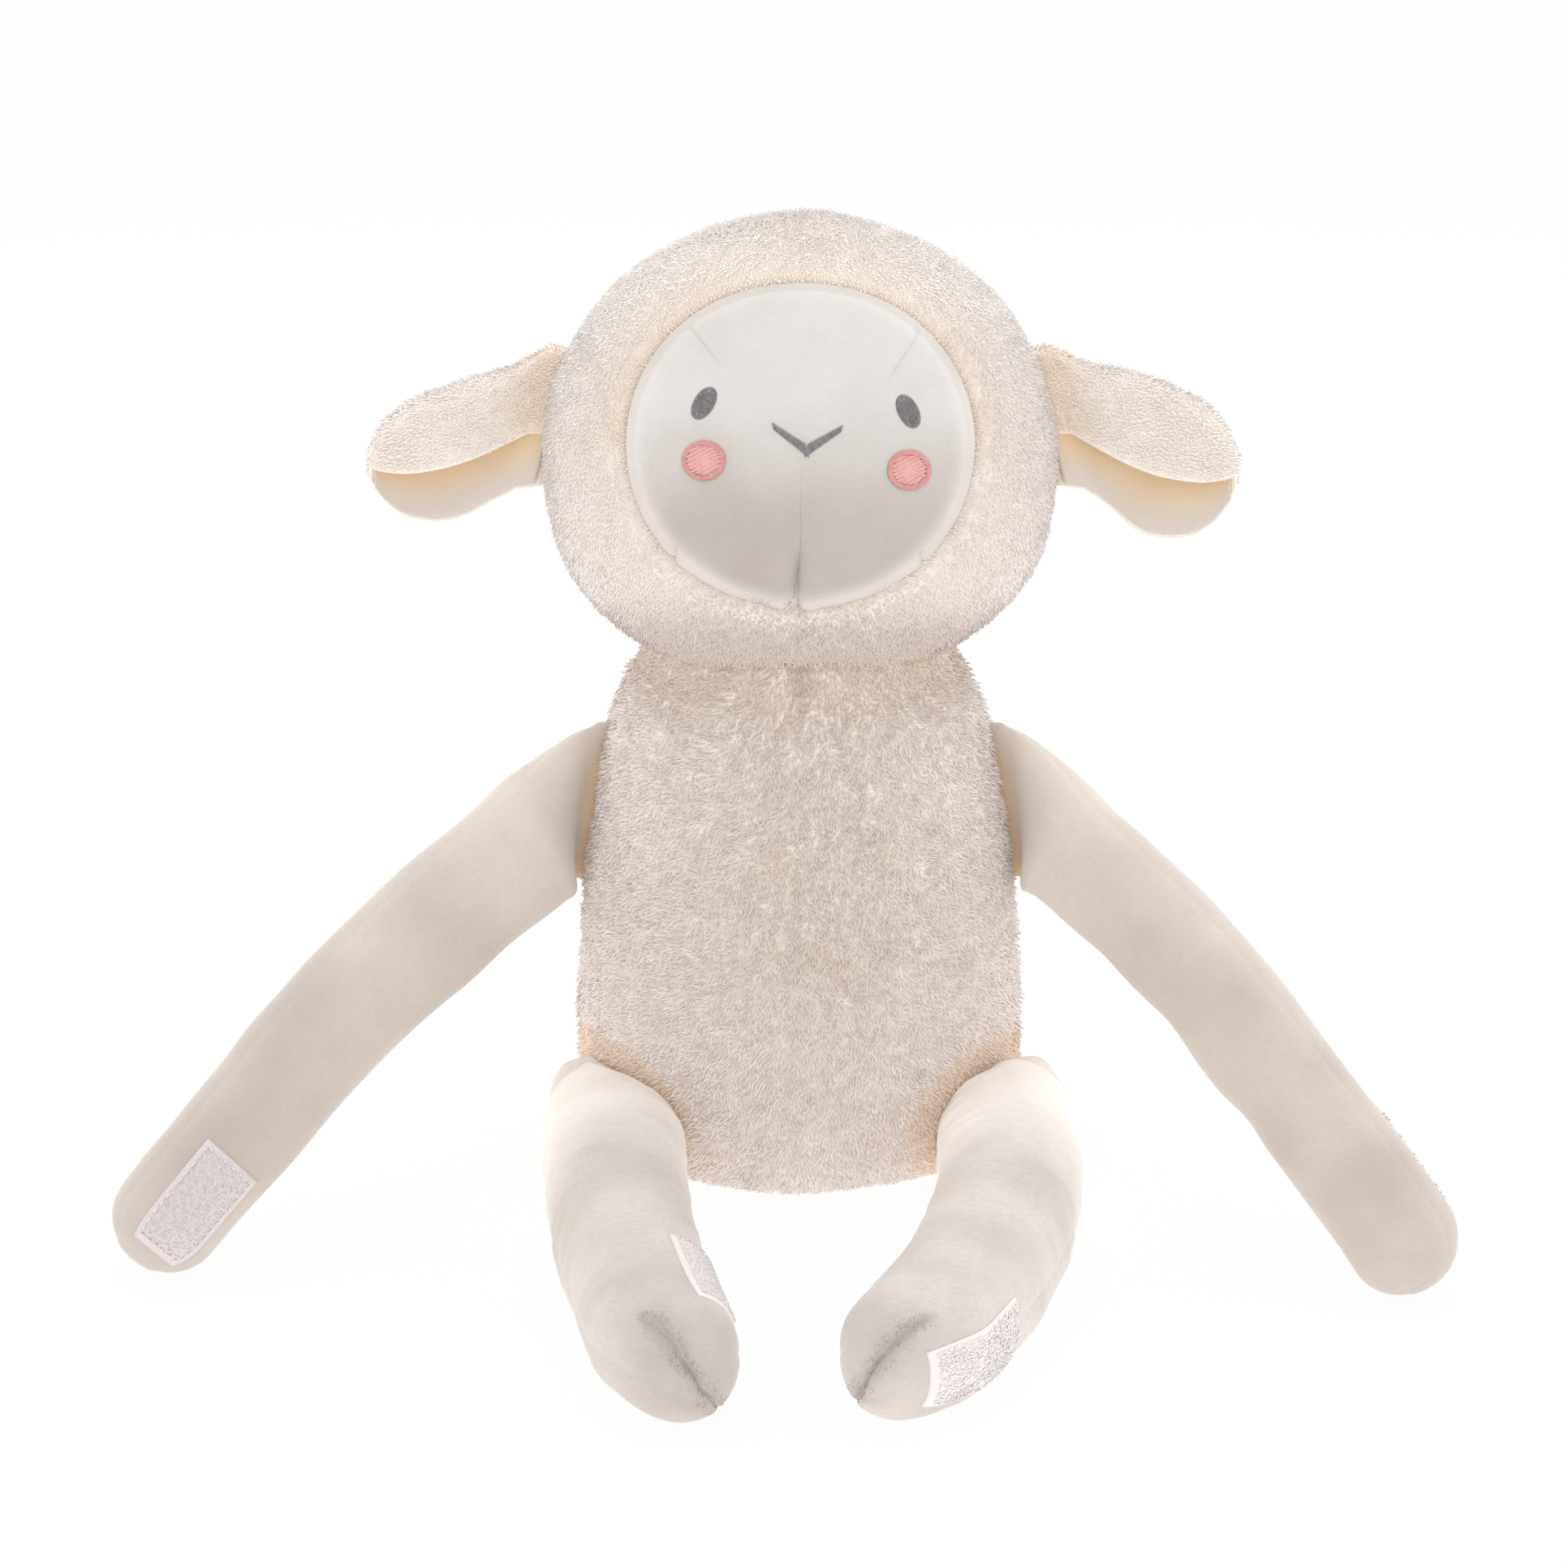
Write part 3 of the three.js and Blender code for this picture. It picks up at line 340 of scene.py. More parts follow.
def cloth(name, grid, thickness, finish, marks=None):
    """A closed sheet of cloth, with the grid as its outer face and its edges turned in to its inner one."""
    rows, columns = grid.shape[:2]
    inner = grid - sheet_normals(grid) * thickness
    count = rows * columns
    index = np.arange(count).reshape(rows, columns)
    rim = np.concatenate([index[:, 0], index[-1, 1:], index[::-1, -1][1:], index[0, ::-1][1:]])
    faces = np.concatenate([
        grid_faces(rows, columns),
        grid_faces(rows, columns, count)[:, ::-1],
        np.stack([rim[:-1], rim[:-1] + count, rim[1:] + count, rim[1:]], axis=-1),
    ])
    both = {key: np.concatenate([np.ravel(value)] * 2) for key, value in spread(marks, grid).items()}
    points = np.concatenate([grid.reshape(-1, 3), inner.reshape(-1, 3)])
    made = mesh_of(name, points, faces.tolist(), finish, both)
    tidy(made)
    return made


def skin(name, grid, finish, marks=None):
    """A closed tube or ball from a grid whose first and last columns meet, and whose end rows are points."""
    made = mesh_of(name, grid, grid_faces(*grid.shape[:2]).tolist(), finish, spread(marks, grid))
    tidy(made)
    return made


def tidy(made):
    """Merges doubles, drops faces without area, turns the faces outward and shades them smooth."""
    work = bmesh.new()
    work.from_mesh(made.data)
    bmesh.ops.remove_doubles(work, verts=work.verts, dist=0.002 * MM)
    bmesh.ops.dissolve_degenerate(work, edges=work.edges, dist=0.001 * MM)
    if work.calc_volume(signed=True) < 0:
        bmesh.ops.reverse_faces(work, faces=work.faces)
    work.to_mesh(made.data)
    work.free()
    made.data.shade_smooth()


def body_half(height, inset):
    """Half the body's width and half its depth at a height."""
    if height < HIP_HEIGHT:
        round_ = math.sqrt(max(1 - ((HIP_HEIGHT - height) / HIP_HEIGHT) ** SEAT_ROUNDNESS, 0))
        return [lerp(seat, hip, round_) - inset for seat, hip in zip(SEAT_HALF, HIP_HALF)]
    up = (height - HIP_HEIGHT) / (NECK_HEIGHT - HIP_HEIGHT)
    narrowing = (1 - NECK_TUCK) * up ** 2 + NECK_TUCK * up ** NECK_TUCK_POWER
    return [lerp(hip, neck, narrowing) - inset for hip, neck in zip(HIP_HALF, (NECK_HALF_WIDTH, NECK_RADIUS))]


def body_setback(height):
    return NECK_SETBACK * height / NECK_HEIGHT


def body_grid(first_turn, last_turn, inset, columns=BODY_COLUMNS):
    """One panel of the body, in rows from the middle of the seat up to the top under the head."""
    turns = np.linspace(first_turn, last_turn, columns)
    rows = []
    for share in np.linspace(0, 1, BODY_ROWS):
        if share < SEAT_SHARE:
            height, size = inset, share / SEAT_SHARE
            half_x, half_y = [half * size for half in body_half(inset, inset)]
            setback = body_setback(height) * size
        elif share < SEAT_SHARE + SIDES_SHARE:
            height = lerp(inset, NECK_HEIGHT, (share - SEAT_SHARE) / SIDES_SHARE)
            half_x, half_y = body_half(height, inset)
            setback = body_setback(height)
        else:
            tilt = (share - (SEAT_SHARE + SIDES_SHARE)) / TOP_SHARE * math.pi / 2
            height = NECK_HEIGHT + (NECK_RADIUS - inset) * math.sin(tilt)
            half_x, half_y = [(size - inset) * math.cos(tilt) for size in (NECK_HALF_WIDTH, NECK_RADIUS)]
            setback = NECK_SETBACK
        rows.append(np.stack([half_x * np.cos(turns), setback + half_y * np.sin(turns),
                              np.full(columns, float(height))], axis=-1))
    return np.array(rows)


def body_depth(x, y, z, room):
    """0 in the middle of the body at that height, and 1 at a distance of room from its side."""
    half_x, half_y = body_half(max(z, 0), -room)
    return math.hypot(x / half_x, (y - body_setback(z)) / half_y)


def out_of_body(points, room):
    """Moves points that lie inside the body, or within room of it, straight out to its side."""
    moved = points.copy()
    for place in np.ndindex(points.shape[:-1]):
        x, y, z = points[place]
        depth = 1 if z > NECK_HEIGHT else body_depth(x, y, z, room)
        if 1e-6 < depth < 1:
            moved[place] = (x / depth, body_setback(z) + (y - body_setback(z)) / depth, z)
    return moved


def lumpy(grid, amount, size, seed, low=0.0):
    """Pushes a grid in and out by soft lumps, and keeps it above the floor."""
    grid = pressed(grid, wobble(grid, size, seed) * -amount)
    grid[..., 2] = np.maximum(grid[..., 2], low)
    return grid


def seam_dip(distance, width):
    """How far a seam draws the cloth in, at a distance from it."""
    return np.exp(-(distance / width) ** 2)


def chest_seam(grid):
    """The short seam that runs from the neck down the middle of the chest."""
    below = NECK_HEIGHT + 6 - grid[..., 2]
    reach = smooth(1 - below / CHEST_SEAM_LENGTH)
    return pressed(grid, CHEST_SEAM_DEPTH * reach * seam_dip(grid[..., 0], CHEST_SEAM_WIDTH))


# The knitted backing is darker than the pile, and shows only in the partings.
backing_material, start, place = fabric("knitted_backing")
backing_colour = place.noise(60.0).clamp(0.3, 0.7).mix((0.86, 0.77, 0.67, 1), (0.93, 0.87, 0.80, 1))
principled(start, {"Base Color": backing_colour, "Roughness": 1.0, "Normal": place.noise(900.0).bump(0.6, 0.4),
                   "Sheen Weight": 0.3})


def pile_material(name, root, tip, mottle_and_shade, mottle):
    """Pile fibre: darker at the root as painted shade between the locks, bright at the tip, mottled, with
    painted shade where its shade mark says, painted warm light in the creases it grows in, and a faint painted
    glow.
    """
    made, start, place = fabric(name)
    patch = place.noise(270.0, 3.0).clamp(0.4, 0.7)
    # Painted shade: each lock is darker towards its root, for the shade deep between the locks
    colour = start.mark("tip").clamp(0.0, 0.8).mix(root, tip)
    # Mottled towards the mottle colour, which is also the colour of the painted shade that the shade mark adds
    colour = (patch * mottle + start.mark("lock") * mottle * 0.3 + start.mark("painted_shade")).mix(colour, mottle_and_shade)
    # Painted warm light: the crease mark turns the pile warm, and makes it glow, in creases between parts
    colour = start.mark("crease").mix(colour, PAINTED_CREASE_GLOW)
    # Painted glow: the pile's own colour is also given off as light
    principled(start, {"Base Color": colour, "Roughness": 0.9, "Sheen Weight": 0.15, "Sheen Roughness": 0.45,
                       "Emission Color": colour, "Emission Strength": PILE_PAINTED_GLOW})
    return made


body_pile_material = pile_material(
    "body_pile", (0.78, 0.69, 0.635, 1), (0.87, 0.80, 0.775, 1), (0.60, 0.515, 0.465, 1), 0.55)


def prism_walls(base, count=3):
    """Faces between two rings of so many points, the first of which starts at base."""
    return [(base + k, base + (k + 1) % count, base + count + (k + 1) % count, base + count + k)
            for k in range(count)]


def small_shape(name, points, faces):
    """A shape that node trees repeat. It is taken out again at the end."""
    mesh = bpy.data.meshes.new(name)
    mesh.from_pydata(points, [], faces)
    mesh.shade_smooth()
    made = bpy.data.objects.new(name, mesh)
    bpy.context.scene.collection.objects.link(made)
    return made


def tuft_shape(bend):
    """One lock of pile, one unit tall: three sides, thick near its top, bent over and closed at the tip."""
    rings = [(0.0, 0.0, 0.14), (0.7, bend * 0.5, 0.26)]
    points = [(shift + width * math.cos(turn), width * math.sin(turn), height)
              for height, shift, width in rings for turn in np.linspace(0, 2 * math.pi, 4)[:3]]
    points.append((bend, 0.0, 1.0))
    faces = [(2, 1, 0), *prism_walls(0), *[(3 + k, 3 + (k + 1) % 3, 6) for k in range(3)]]
    made = small_shape("tuft", points, faces)
    # The tip mark runs from 0 at the root to 1 at the tip; the pile is painted darker towards the root as shade
    # between the locks
    tip = made.data.attributes.new("tip", "FLOAT", "POINT")
    tip.data.foreach_set("value", [0.0, 0.0, 0.0, 0.7, 0.7, 0.7, 1.0])
    return made


def group_inputs(tree, sockets):
    """Names a tree's inputs, gives it its one output, and hands back a wire for each input."""
    for name, kind in sockets:
        tree.interface.new_socket(name, in_out="INPUT", socket_type=kind)
    tree.interface.new_socket("Geometry", in_out="OUTPUT", socket_type="NodeSocketGeometry")
    made = tree.nodes.new("NodeGroupInput")
    return {name: Wire(tree, made.outputs[name]) for name, _ in sockets}


def attribute(start, name, kind="FLOAT_VECTOR"):
    return start.node("GeometryNodeInputNamedAttribute", {"data_type": kind}, {"Name": name})


def random_between(start, low, high, seed):
    """A random number for each point or instance."""
    return start.node("FunctionNodeRandomValue", {"data_type": "FLOAT"}, {2: low, 3: high, "Seed": seed}, 1)


def placed(start, points, shape, turned, size):
    """A copy of a shape on every point."""
    shape = start.node("GeometryNodeObjectInfo", {}, {"Object": shape}, "Geometry")
    return start.node("GeometryNodeInstanceOnPoints", {}, {
        "Points": points, "Instance": shape, "Rotation": turned, "Scale": size})


def finished(start, instances, finish):
    """Ends a tree: its instances become one mesh with one material."""
    real = start.node("GeometryNodeRealizeInstances", {}, {"Geometry": instances})
    dressed = start.node("GeometryNodeSetMaterial", {}, {"Geometry": real, "Material": finish})
    start.node("NodeGroupOutput", {}, {0: dressed})


def pile_tree():
    """Grows locks of pile on a sheet: they lean the way the attribute lay says, ruffled by noise."""
    tree = bpy.data.node_groups.new("pile", "GeometryNodeTree")
    given = group_inputs(tree, [
        ("Geometry", "NodeSocketGeometry"), ("Tuft", "NodeSocketObject"), ("Fibre", "NodeSocketMaterial"),
        ("Spacing", "NodeSocketFloat"), ("Length", "NodeSocketFloat"), ("Width", "NodeSocketFloat"),
        ("Lean", "NodeSocketFloat"), ("Curl", "NodeSocketFloat"), ("Ruffle", "NodeSocketFloat"),
        ("Seed", "NodeSocketInt"),
    ])
    start = Wire(tree)
    trim = attribute(start, "trim", "FLOAT")
    scatter = start.node("GeometryNodeDistributePointsOnFaces", {"distribute_method": "POISSON"}, {
        "Mesh": given["Geometry"], "Distance Min": given["Spacing"], "Density Max": 1e7,
        "Density Factor": trim.clamp(0.0, 0.04), "Seed": given["Seed"],
    })
    normal = Wire(tree, scatter.socket.node.outputs["Normal"])
    swirl = start.node("GeometryNodeInputPosition").noise(130.0, 2.0, "Color")
    swirl = start.vector("SUBTRACT", swirl, (0.5, 0.5, 0.5))
    jitter = start.node("FunctionNodeRandomValue", {"data_type": "FLOAT_VECTOR"}, {
        0: (-0.5, -0.5, -0.5), 1: (0.5, 0.5, 0.5), "Seed": given["Seed"]})
    lean, curl, ruffle = [
        start.node("ShaderNodeVectorMath", {"operation": "SCALE"}, {0: way, "Scale": given[amount]})
        for way, amount in ((attribute(start, "lay"), "Lean"), (swirl, "Curl"), (jitter, "Ruffle"))]
    brushing = start.vector("ADD", lean, curl)
    way = start.vector("ADD", start.vector("ADD", normal, brushing), ruffle)
    turned = start.node("FunctionNodeAxesToRotation", {"primary_axis": "Z", "secondary_axis": "X"}, {
        "Primary Axis": way, "Secondary Axis": start.vector("ADD", brushing, jitter)})
    growth = random_between(start, 0.65, 1.3, given["Seed"])
    height = growth * given["Length"] * (trim * 0.6 + 0.4)
    size = start.node("ShaderNodeCombineXYZ", {}, {0: given["Width"], 1: given["Width"], 2: height})
    locks = placed(start, scatter, given["Tuft"], turned, size)
    for name, kind, value in (("lock", "FLOAT", random_between(start, 0.0, 1.0, 7)),
                              ("skin", "FLOAT_VECTOR", attribute(start, "skin"))):
        locks = start.node("GeometryNodeStoreNamedAttribute", {"data_type": kind, "domain": "INSTANCE"}, {
            "Geometry": locks, "Name": name, "Value": value})
    finished(start, locks, given["Fibre"])
    return tree


def run_tree(made, tree, values):
    """Runs a node tree on a piece with these inputs, and keeps the result as the piece's plain mesh."""
    modifier = made.modifiers.new(tree.name, "NODES")
    modifier.node_group = tree
    for item in tree.interface.items_tree:
        if item.in_out == "INPUT" and item.name in values:
            modifier[item.identifier] = values[item.name]
    graph = bpy.context.evaluated_depsgraph_get()
    mesh = bpy.data.meshes.new_from_object(made.evaluated_get(graph), depsgraph=graph)
    made.modifiers.clear()
    made.data = mesh
    return made


tuft = tuft_shape(0.35)
pile = pile_tree()


def give_vectors(made, **vectors):
    """Stores a vector for each point of a piece under each name."""
    for key, value in vectors.items():
        made.data.attributes.new(key, "FLOAT_VECTOR", "POINT").data.foreach_set("vector", value.ravel())


def grow_pile(name, grid, lay, marks, fibre, seed, spacing, length, width, lean, curl, ruffle):
    """A piece of pile on a grid, brushed by lay. Marks: its trim, its painted crease glow and its painted
    shade, 0 to 1.
    """
    made = mesh_of(name, grid, grid_faces(*grid.shape[:2]).tolist(), fibre, spread(marks, grid))
    give_vectors(made, lay=lay, skin=sheet_normals(grid))
    run_tree(made, pile, {
        "Tuft": tuft, "Fibre": fibre, "Spacing": spacing * MM, "Length": length * MM, "Width": width * MM,
        "Lean": lean, "Curl": curl, "Ruffle": ruffle, "Seed": seed,
    })
    # Fibres this fine shade as one soft surface, so their normals lean towards the skin's
    count = len(made.data.vertices)
    own, skins = np.zeros(count * 3), np.zeros(count * 3)
    made.data.vertices.foreach_get("normal", own)
    made.data.attributes["skin"].data.foreach_get("vector", skins)
    made.data.attributes.remove(made.data.attributes["skin"])
    made.data.normals_split_custom_set_from_vertices(unit(lerp(own, skins, PILE_SOFTNESS).reshape(-1, 3), 1e-6))
    # What would hang below the floor lies flat on it
    places = np.zeros(count * 3)
    made.data.vertices.foreach_get("co", places)
    places[2::3] = np.maximum(places[2::3], 0)
    made.data.vertices.foreach_set("co", places)
    return made


def halves(grid):
    """The toy's right and left side of a sheet, which meet at its middle column."""
    middle = grid.shape[1] // 2
    sides = (slice(0, middle + 1), slice(middle, None))
    return zip(("right", "left"), sides if grid[:, :middle, 0].mean() < 0 else sides[::-1])


def grow_halves(name, grid, lay, marks, fibre, seed, look, body):
    """The pile of a panel, as one piece on each side of the toy."""
    for half, part in halves(grid):
        own_marks = {key: mark[:, part] for key, mark in marks.items()}
        grown = grow_pile(f"{name}_{half}_pile", grid[:, part], lay[:, part], own_marks, fibre, seed, *look)
        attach(grown, body)


def brushed(grid, way):
    """A brushing direction laid flat on the grid's surface."""
    normals = sheet_normals(grid)
    return unit(way - normals * (way * normals).sum(axis=2, keepdims=True), 1e-6)


def near_line(points, first, last, radius):
    """How far points lie from a rod with round ends."""
    first, last = np.array(first, dtype=float), np.array(last, dtype=float)
    way = last - first
    share = np.clip(((points - first) @ way) / (way @ way), 0, 1)
    return np.linalg.norm(points - first - share[..., None] * way, axis=-1) - radius


for name, first, last, seed in (("body_front", math.pi, 2 * math.pi, 1), ("body_back", 0, math.pi, 2)):
    grid = lumpy(facing_out(body_grid(first, last, BACKING_DEPTH)), LUMP, LUMP_SIZE, seed, FLOOR_GAP)
    from_edge = np.minimum(np.arange(BODY_COLUMNS), np.arange(BODY_COLUMNS)[::-1]) * COLUMN_STEP
    grid = pressed(grid, SIDE_SEAM_DEPTH * seam_dip(from_edge, SIDE_SEAM_WIDTH))
    if name == "body_front":
        grid = chest_seam(grid)
    grid[..., 2] = np.maximum(grid[..., 2], FLOOR_GAP)
    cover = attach(cloth(name, grid, BACKING, backing_material), "torso")
    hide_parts(f"{name}_cover")
    if name == "body_back":
        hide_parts("body_filling")
    # The pile is brushed down and out to both sides, and none grows under the head or close to the floor
    x, y, z = np.moveaxis(grid, -1, 0)
    sideways = 0.45 * smooth((x - 15) / 45) - 0.95 * smooth((5 - x) / 50)
    way = np.stack([sideways, 0 * x, -0.55 + 0 * x], axis=-1)
    trim = smooth((NECK_HEIGHT + 24 - z) / 6) * smooth((z - 0.6) / 8)
    on_left = np.stack([np.abs(x), y, z], axis=-1)
    # Painted warm light where the arms and legs press on the body at rest and under the neck; it stays there
    # when the limbs move
    crease = sum(seam_dip(np.maximum(near_line(on_left, *rod), 0), PRESSED_WIDTH) for rod in PRESSED)
    crease = PRESSED_PAINTED_GLOW[name] * crease + 0.15 * smooth((z - NECK_HEIGHT + 12) / 14)
    # Painted shade: the pile is darker down the middle of the chest and in a band under the head, so that its
    # sides and seat look lighter
    painted_shade = 0.7 * np.exp(-(x / 55) ** 2) * smooth((z - 15) / 90) + 0.4 * smooth((z - NECK_HEIGHT + 16) / 14)
    grow_halves(name, grid, brushed(grid, way), {"trim": trim, "crease": np.clip(crease, 0, 0.5), "painted_shade": painted_shade},
                body_pile_material, seed, BODY_PILE[name], "torso")


# Head: a wall of pile in two halves, parted at the ear seam, round an opening for the face.
# It is stuffed to a wide round form with full jowls, and sits with its hollow underside on the neck.
HEAD_CENTRE = np.array([0.0, 8.0, 231.0])
HEAD_TILT = math.radians(17)
HEAD_HALF_WIDTH = 79.5
HEAD_TOP = 75.5
HEAD_CHIN = 69
HEAD_JOWL = 2.35
HEAD_CROWN = 2.08
HEAD_FRONT = 50
HEAD_BACK = 54
FACE_HALF_WIDTH = 52.5
FACE_HALF_HEIGHT = 49
FACE_RISE = 3.4
MUZZLE_SWELL = 7
MUZZLE_DROP = 14
MUZZLE_WIDTH = 34
MUZZLE_HEIGHT = 26
SOCKET_ROOM = 0.7
HEAD_ROWS = 58
HEAD_COLUMNS = 169
HEAD_LUMP = 1.2
HEAD_LUMP_SIZE = 24
# Millimetres along the front half, from the face's rim to the ear seam, and along the back half
FRONT_RUN = 42
BACK_RUN = 75
RIM_DIP = 2.8
RIM_DIP_WIDTH = 3.0
EAR_SEAM_DEPTH = 1.5
EAR_SEAM_WIDTH = 3.0
HEAD_PILE = {"head_front": (0.64, 1.9, 0.95, 0.8, 1.3, 0.7), "head_back": (0.9, 2.1, 1.4, 0.8, 1.3, 0.7)}


def on_head(points):
    """Places of the head's own frame, face along -Y, on the tilted head."""
    x, y, z = np.moveaxis(points, -1, 0)
    cos, sin = math.cos(HEAD_TILT), math.sin(HEAD_TILT)
    return np.stack([x, y * cos + z * sin, z * cos - y * sin], axis=-1) + HEAD_CENTRE


def in_head(points):
    """The reverse of on_head."""
    x, y, z = np.moveaxis(points - HEAD_CENTRE, -1, 0)
    cos, sin = math.cos(HEAD_TILT), math.sin(HEAD_TILT)
    return np.stack([x, y * cos - z * sin, z * cos + y * sin], axis=-1)


def fullness(turn, power):
    """Radius of a squared circle in a direction: round at a power of 2, and fuller above it."""
    return (np.abs(np.cos(turn)) ** power + np.abs(np.sin(turn)) ** power) ** (-1 / power)


def muzzle(x, z):
    """How far the face swells forward at the muzzle."""
    return MUZZLE_SWELL * np.exp(-(x / MUZZLE_WIDTH) ** 2 - ((z + MUZZLE_DROP) / MUZZLE_HEIGHT) ** 2)


def head_point(polar, turn, inset):
    """A point of the head in its own frame: polar is 0 at the face, 90 at the ear seam, 180 at the back."""
    rim, forward = np.sin(polar), np.cos(polar)
    low = np.sin(turn) < 0
    half = np.where(low, HEAD_CHIN, HEAD_TOP) - inset
    full = np.where(low, fullness(turn, HEAD_JOWL), fullness(turn, HEAD_CROWN))
    x = (HEAD_HALF_WIDTH - inset) * rim * np.cos(turn) * full
    z = half * rim * np.sin(turn) * full
    swell = muzzle(x, z) * np.sqrt(np.clip(forward, 0, 1))
    depth = np.where(forward > 0, HEAD_FRONT, HEAD_BACK) - inset
    return np.stack([x, -depth * forward - swell, z], axis=-1)


def rim_of(around):
    """Where the face's rim lies on the head, for each direction round it."""
    up = FACE_RISE + FACE_HALF_HEIGHT * np.sin(around)
    across = FACE_HALF_WIDTH * np.cos(around) / HEAD_HALF_WIDTH
    up = up / np.where(up > 0, HEAD_TOP, HEAD_CHIN)
    turn = np.arctan2(up, across)
    full = np.where(up > 0, 1.0, fullness(turn, HEAD_JOWL))
    return turn, np.arcsin(np.hypot(across, up) / full)


def head_grid(shares, inset, columns=HEAD_COLUMNS):
    """Rows at shares of the way from the face's rim, past the ear seam at 1, to the back at 2."""
    turn, rim = rim_of(np.linspace(0, 2 * math.pi, columns) - math.pi / 2)
    share = np.asarray(shares)[:, None]
    polar = np.where(share < 1, rim + (math.pi / 2 - rim) * share, math.pi / 2 * share)
    return head_point(polar, turn + 0 * share, inset)


def from_neck(points, room=0.0):
    """Places seen from the middle of the neck's round top, in units of its radii with this room added."""
    radii = np.array([NECK_HALF_WIDTH, NECK_RADIUS, NECK_RADIUS])
    return (points - [0, NECK_SETBACK, NECK_HEIGHT]) / (radii + room)


def neck_distance(points, room=0.0):
    """How far out points lie: 1 at this room over the neck's round top, and less below."""
    return np.linalg.norm(from_neck(points, room), axis=-1)


def over_neck(points, room):
    """Moves points that lie inside the neck's round top straight up to its surface."""
    x, y, _ = np.moveaxis(from_neck(points, room), -1, 0)
    top = NECK_HEIGHT + (NECK_RADIUS + room) * np.sqrt(np.clip(1 - x ** 2 - y ** 2, 0, 1))
    lifted = points.copy()
    lifted[..., 2] = np.where(neck_distance(points, room) < 1, top, points[..., 2])
    return lifted


head_pile_material = pile_material(
    "head_pile", (0.92, 0.84, 0.785, 1), (0.96, 0.915, 0.885, 1), (0.56, 0.485, 0.45, 1), 0.12)

for name, first, last, seed in (("head_front", -0.03, 1, 3), ("head_back", 1, 2, 4)):
    shares = np.linspace(first, last, HEAD_ROWS)
    grid = head_grid(shares, BACKING_DEPTH)
    if name == "head_front":
        from_rim = np.maximum(shares, 0)[:, None, None] * FRONT_RUN
        own_normals = sheet_normals(grid)
        inward = np.where((own_normals * grid).sum(axis=2, keepdims=True) > 0, -own_normals, own_normals)
        grid = grid + inward * RIM_DIP * seam_dip(from_rim, RIM_DIP_WIDTH)
    grid = lumpy(facing_out(on_head(grid)), HEAD_LUMP, HEAD_LUMP_SIZE, seed)
    grid = pressed(grid, EAR_SEAM_DEPTH * seam_dip(np.abs(shares - 1) * BACK_RUN, EAR_SEAM_WIDTH)[:, None])
    # No pile grows in the hollow over the neck
    trim = smooth((neck_distance(grid, SOCKET_ROOM + 0.4) - 1) * 40)
    grid = over_neck(grid, SOCKET_ROOM + 0.6)
    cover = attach(cloth(name, grid, BACKING, backing_material), "head")
    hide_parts(f"{name}_cover")
    if name == "head_back":
        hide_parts("head_filling")
    own = in_head(grid)
    x, z = own[..., 0], own[..., 2]
    lay = brushed(grid, np.stack([x * 0.006, np.full_like(x, -0.3), np.full_like(x, -0.5)], axis=-1))
    # Painted warm light in the crease over the neck
    crease = 0.35 * seam_dip((neck_distance(grid) - 1) * NECK_RADIUS, 5)
    if name == "head_front":
        # The pile laps over the rim of the face all round
        lay = lerp(lay, brushed(grid, -own * np.array([1, 0, 1])), seam_dip(from_rim, 5.5))
        trim = trim * smooth((shares + 0.02) / 0.02)[:, None]
        # Painted warm light where the pile laps over the face's rim, except low down
        crease = crease + 0.4 * seam_dip(from_rim[..., 0], 6) * smooth((z + 10) / 20)
    # Painted light and shade: the crown is left light, the pile below it is darker, and darker still under the
    # chin where it faces down
    painted_shade = 0.4 * smooth((58 - z) / 34) + 0.7 * smooth((-36 - z) / 24)
    grow_halves(name, grid, lay, {"trim": trim, "crease": crease, "painted_shade": painted_shade}, head_pile_material, seed,
                HEAD_PILE[name], "head")


# Face: one disc of short velour, drawn in by darts at its rim and sewn into the opening of the pile.
# A crease runs up from the chin, and the nap is brushed down; the muzzle is painted greyer than the brow,
# partly for its nap and partly as painted shade where it faces down.
FACE_ROWS = 110
FACE_COLUMNS = 260
FACE_THICKNESS = 1.2
FACE_RIM_DIP = 3.4
FACE_RIM_DIP_WIDTH = 4.2
FACE_REACH = 1.05
FACE_INSET = 0.7
FACE_RUN = 50
# Darts and pleats in the disc: from the rim, to their inner end, with their depth and half width
FACE_DARTS = [
    ((-33.0, 38.5), (-20.5, 23.5), 0.8, 1.0),
    ((36.0, 38.0), (22.0, 17.0), 0.8, 1.0),
    ((-2.2, -46.5), (0.4, -21.0), 2.4, 2.0),
    ((-39.5, -32.0), (-37.0, -23.0), 1.0, 1.2),
    ((38.5, -33.5), (36.0, -25.0), 1.0, 1.2),
]


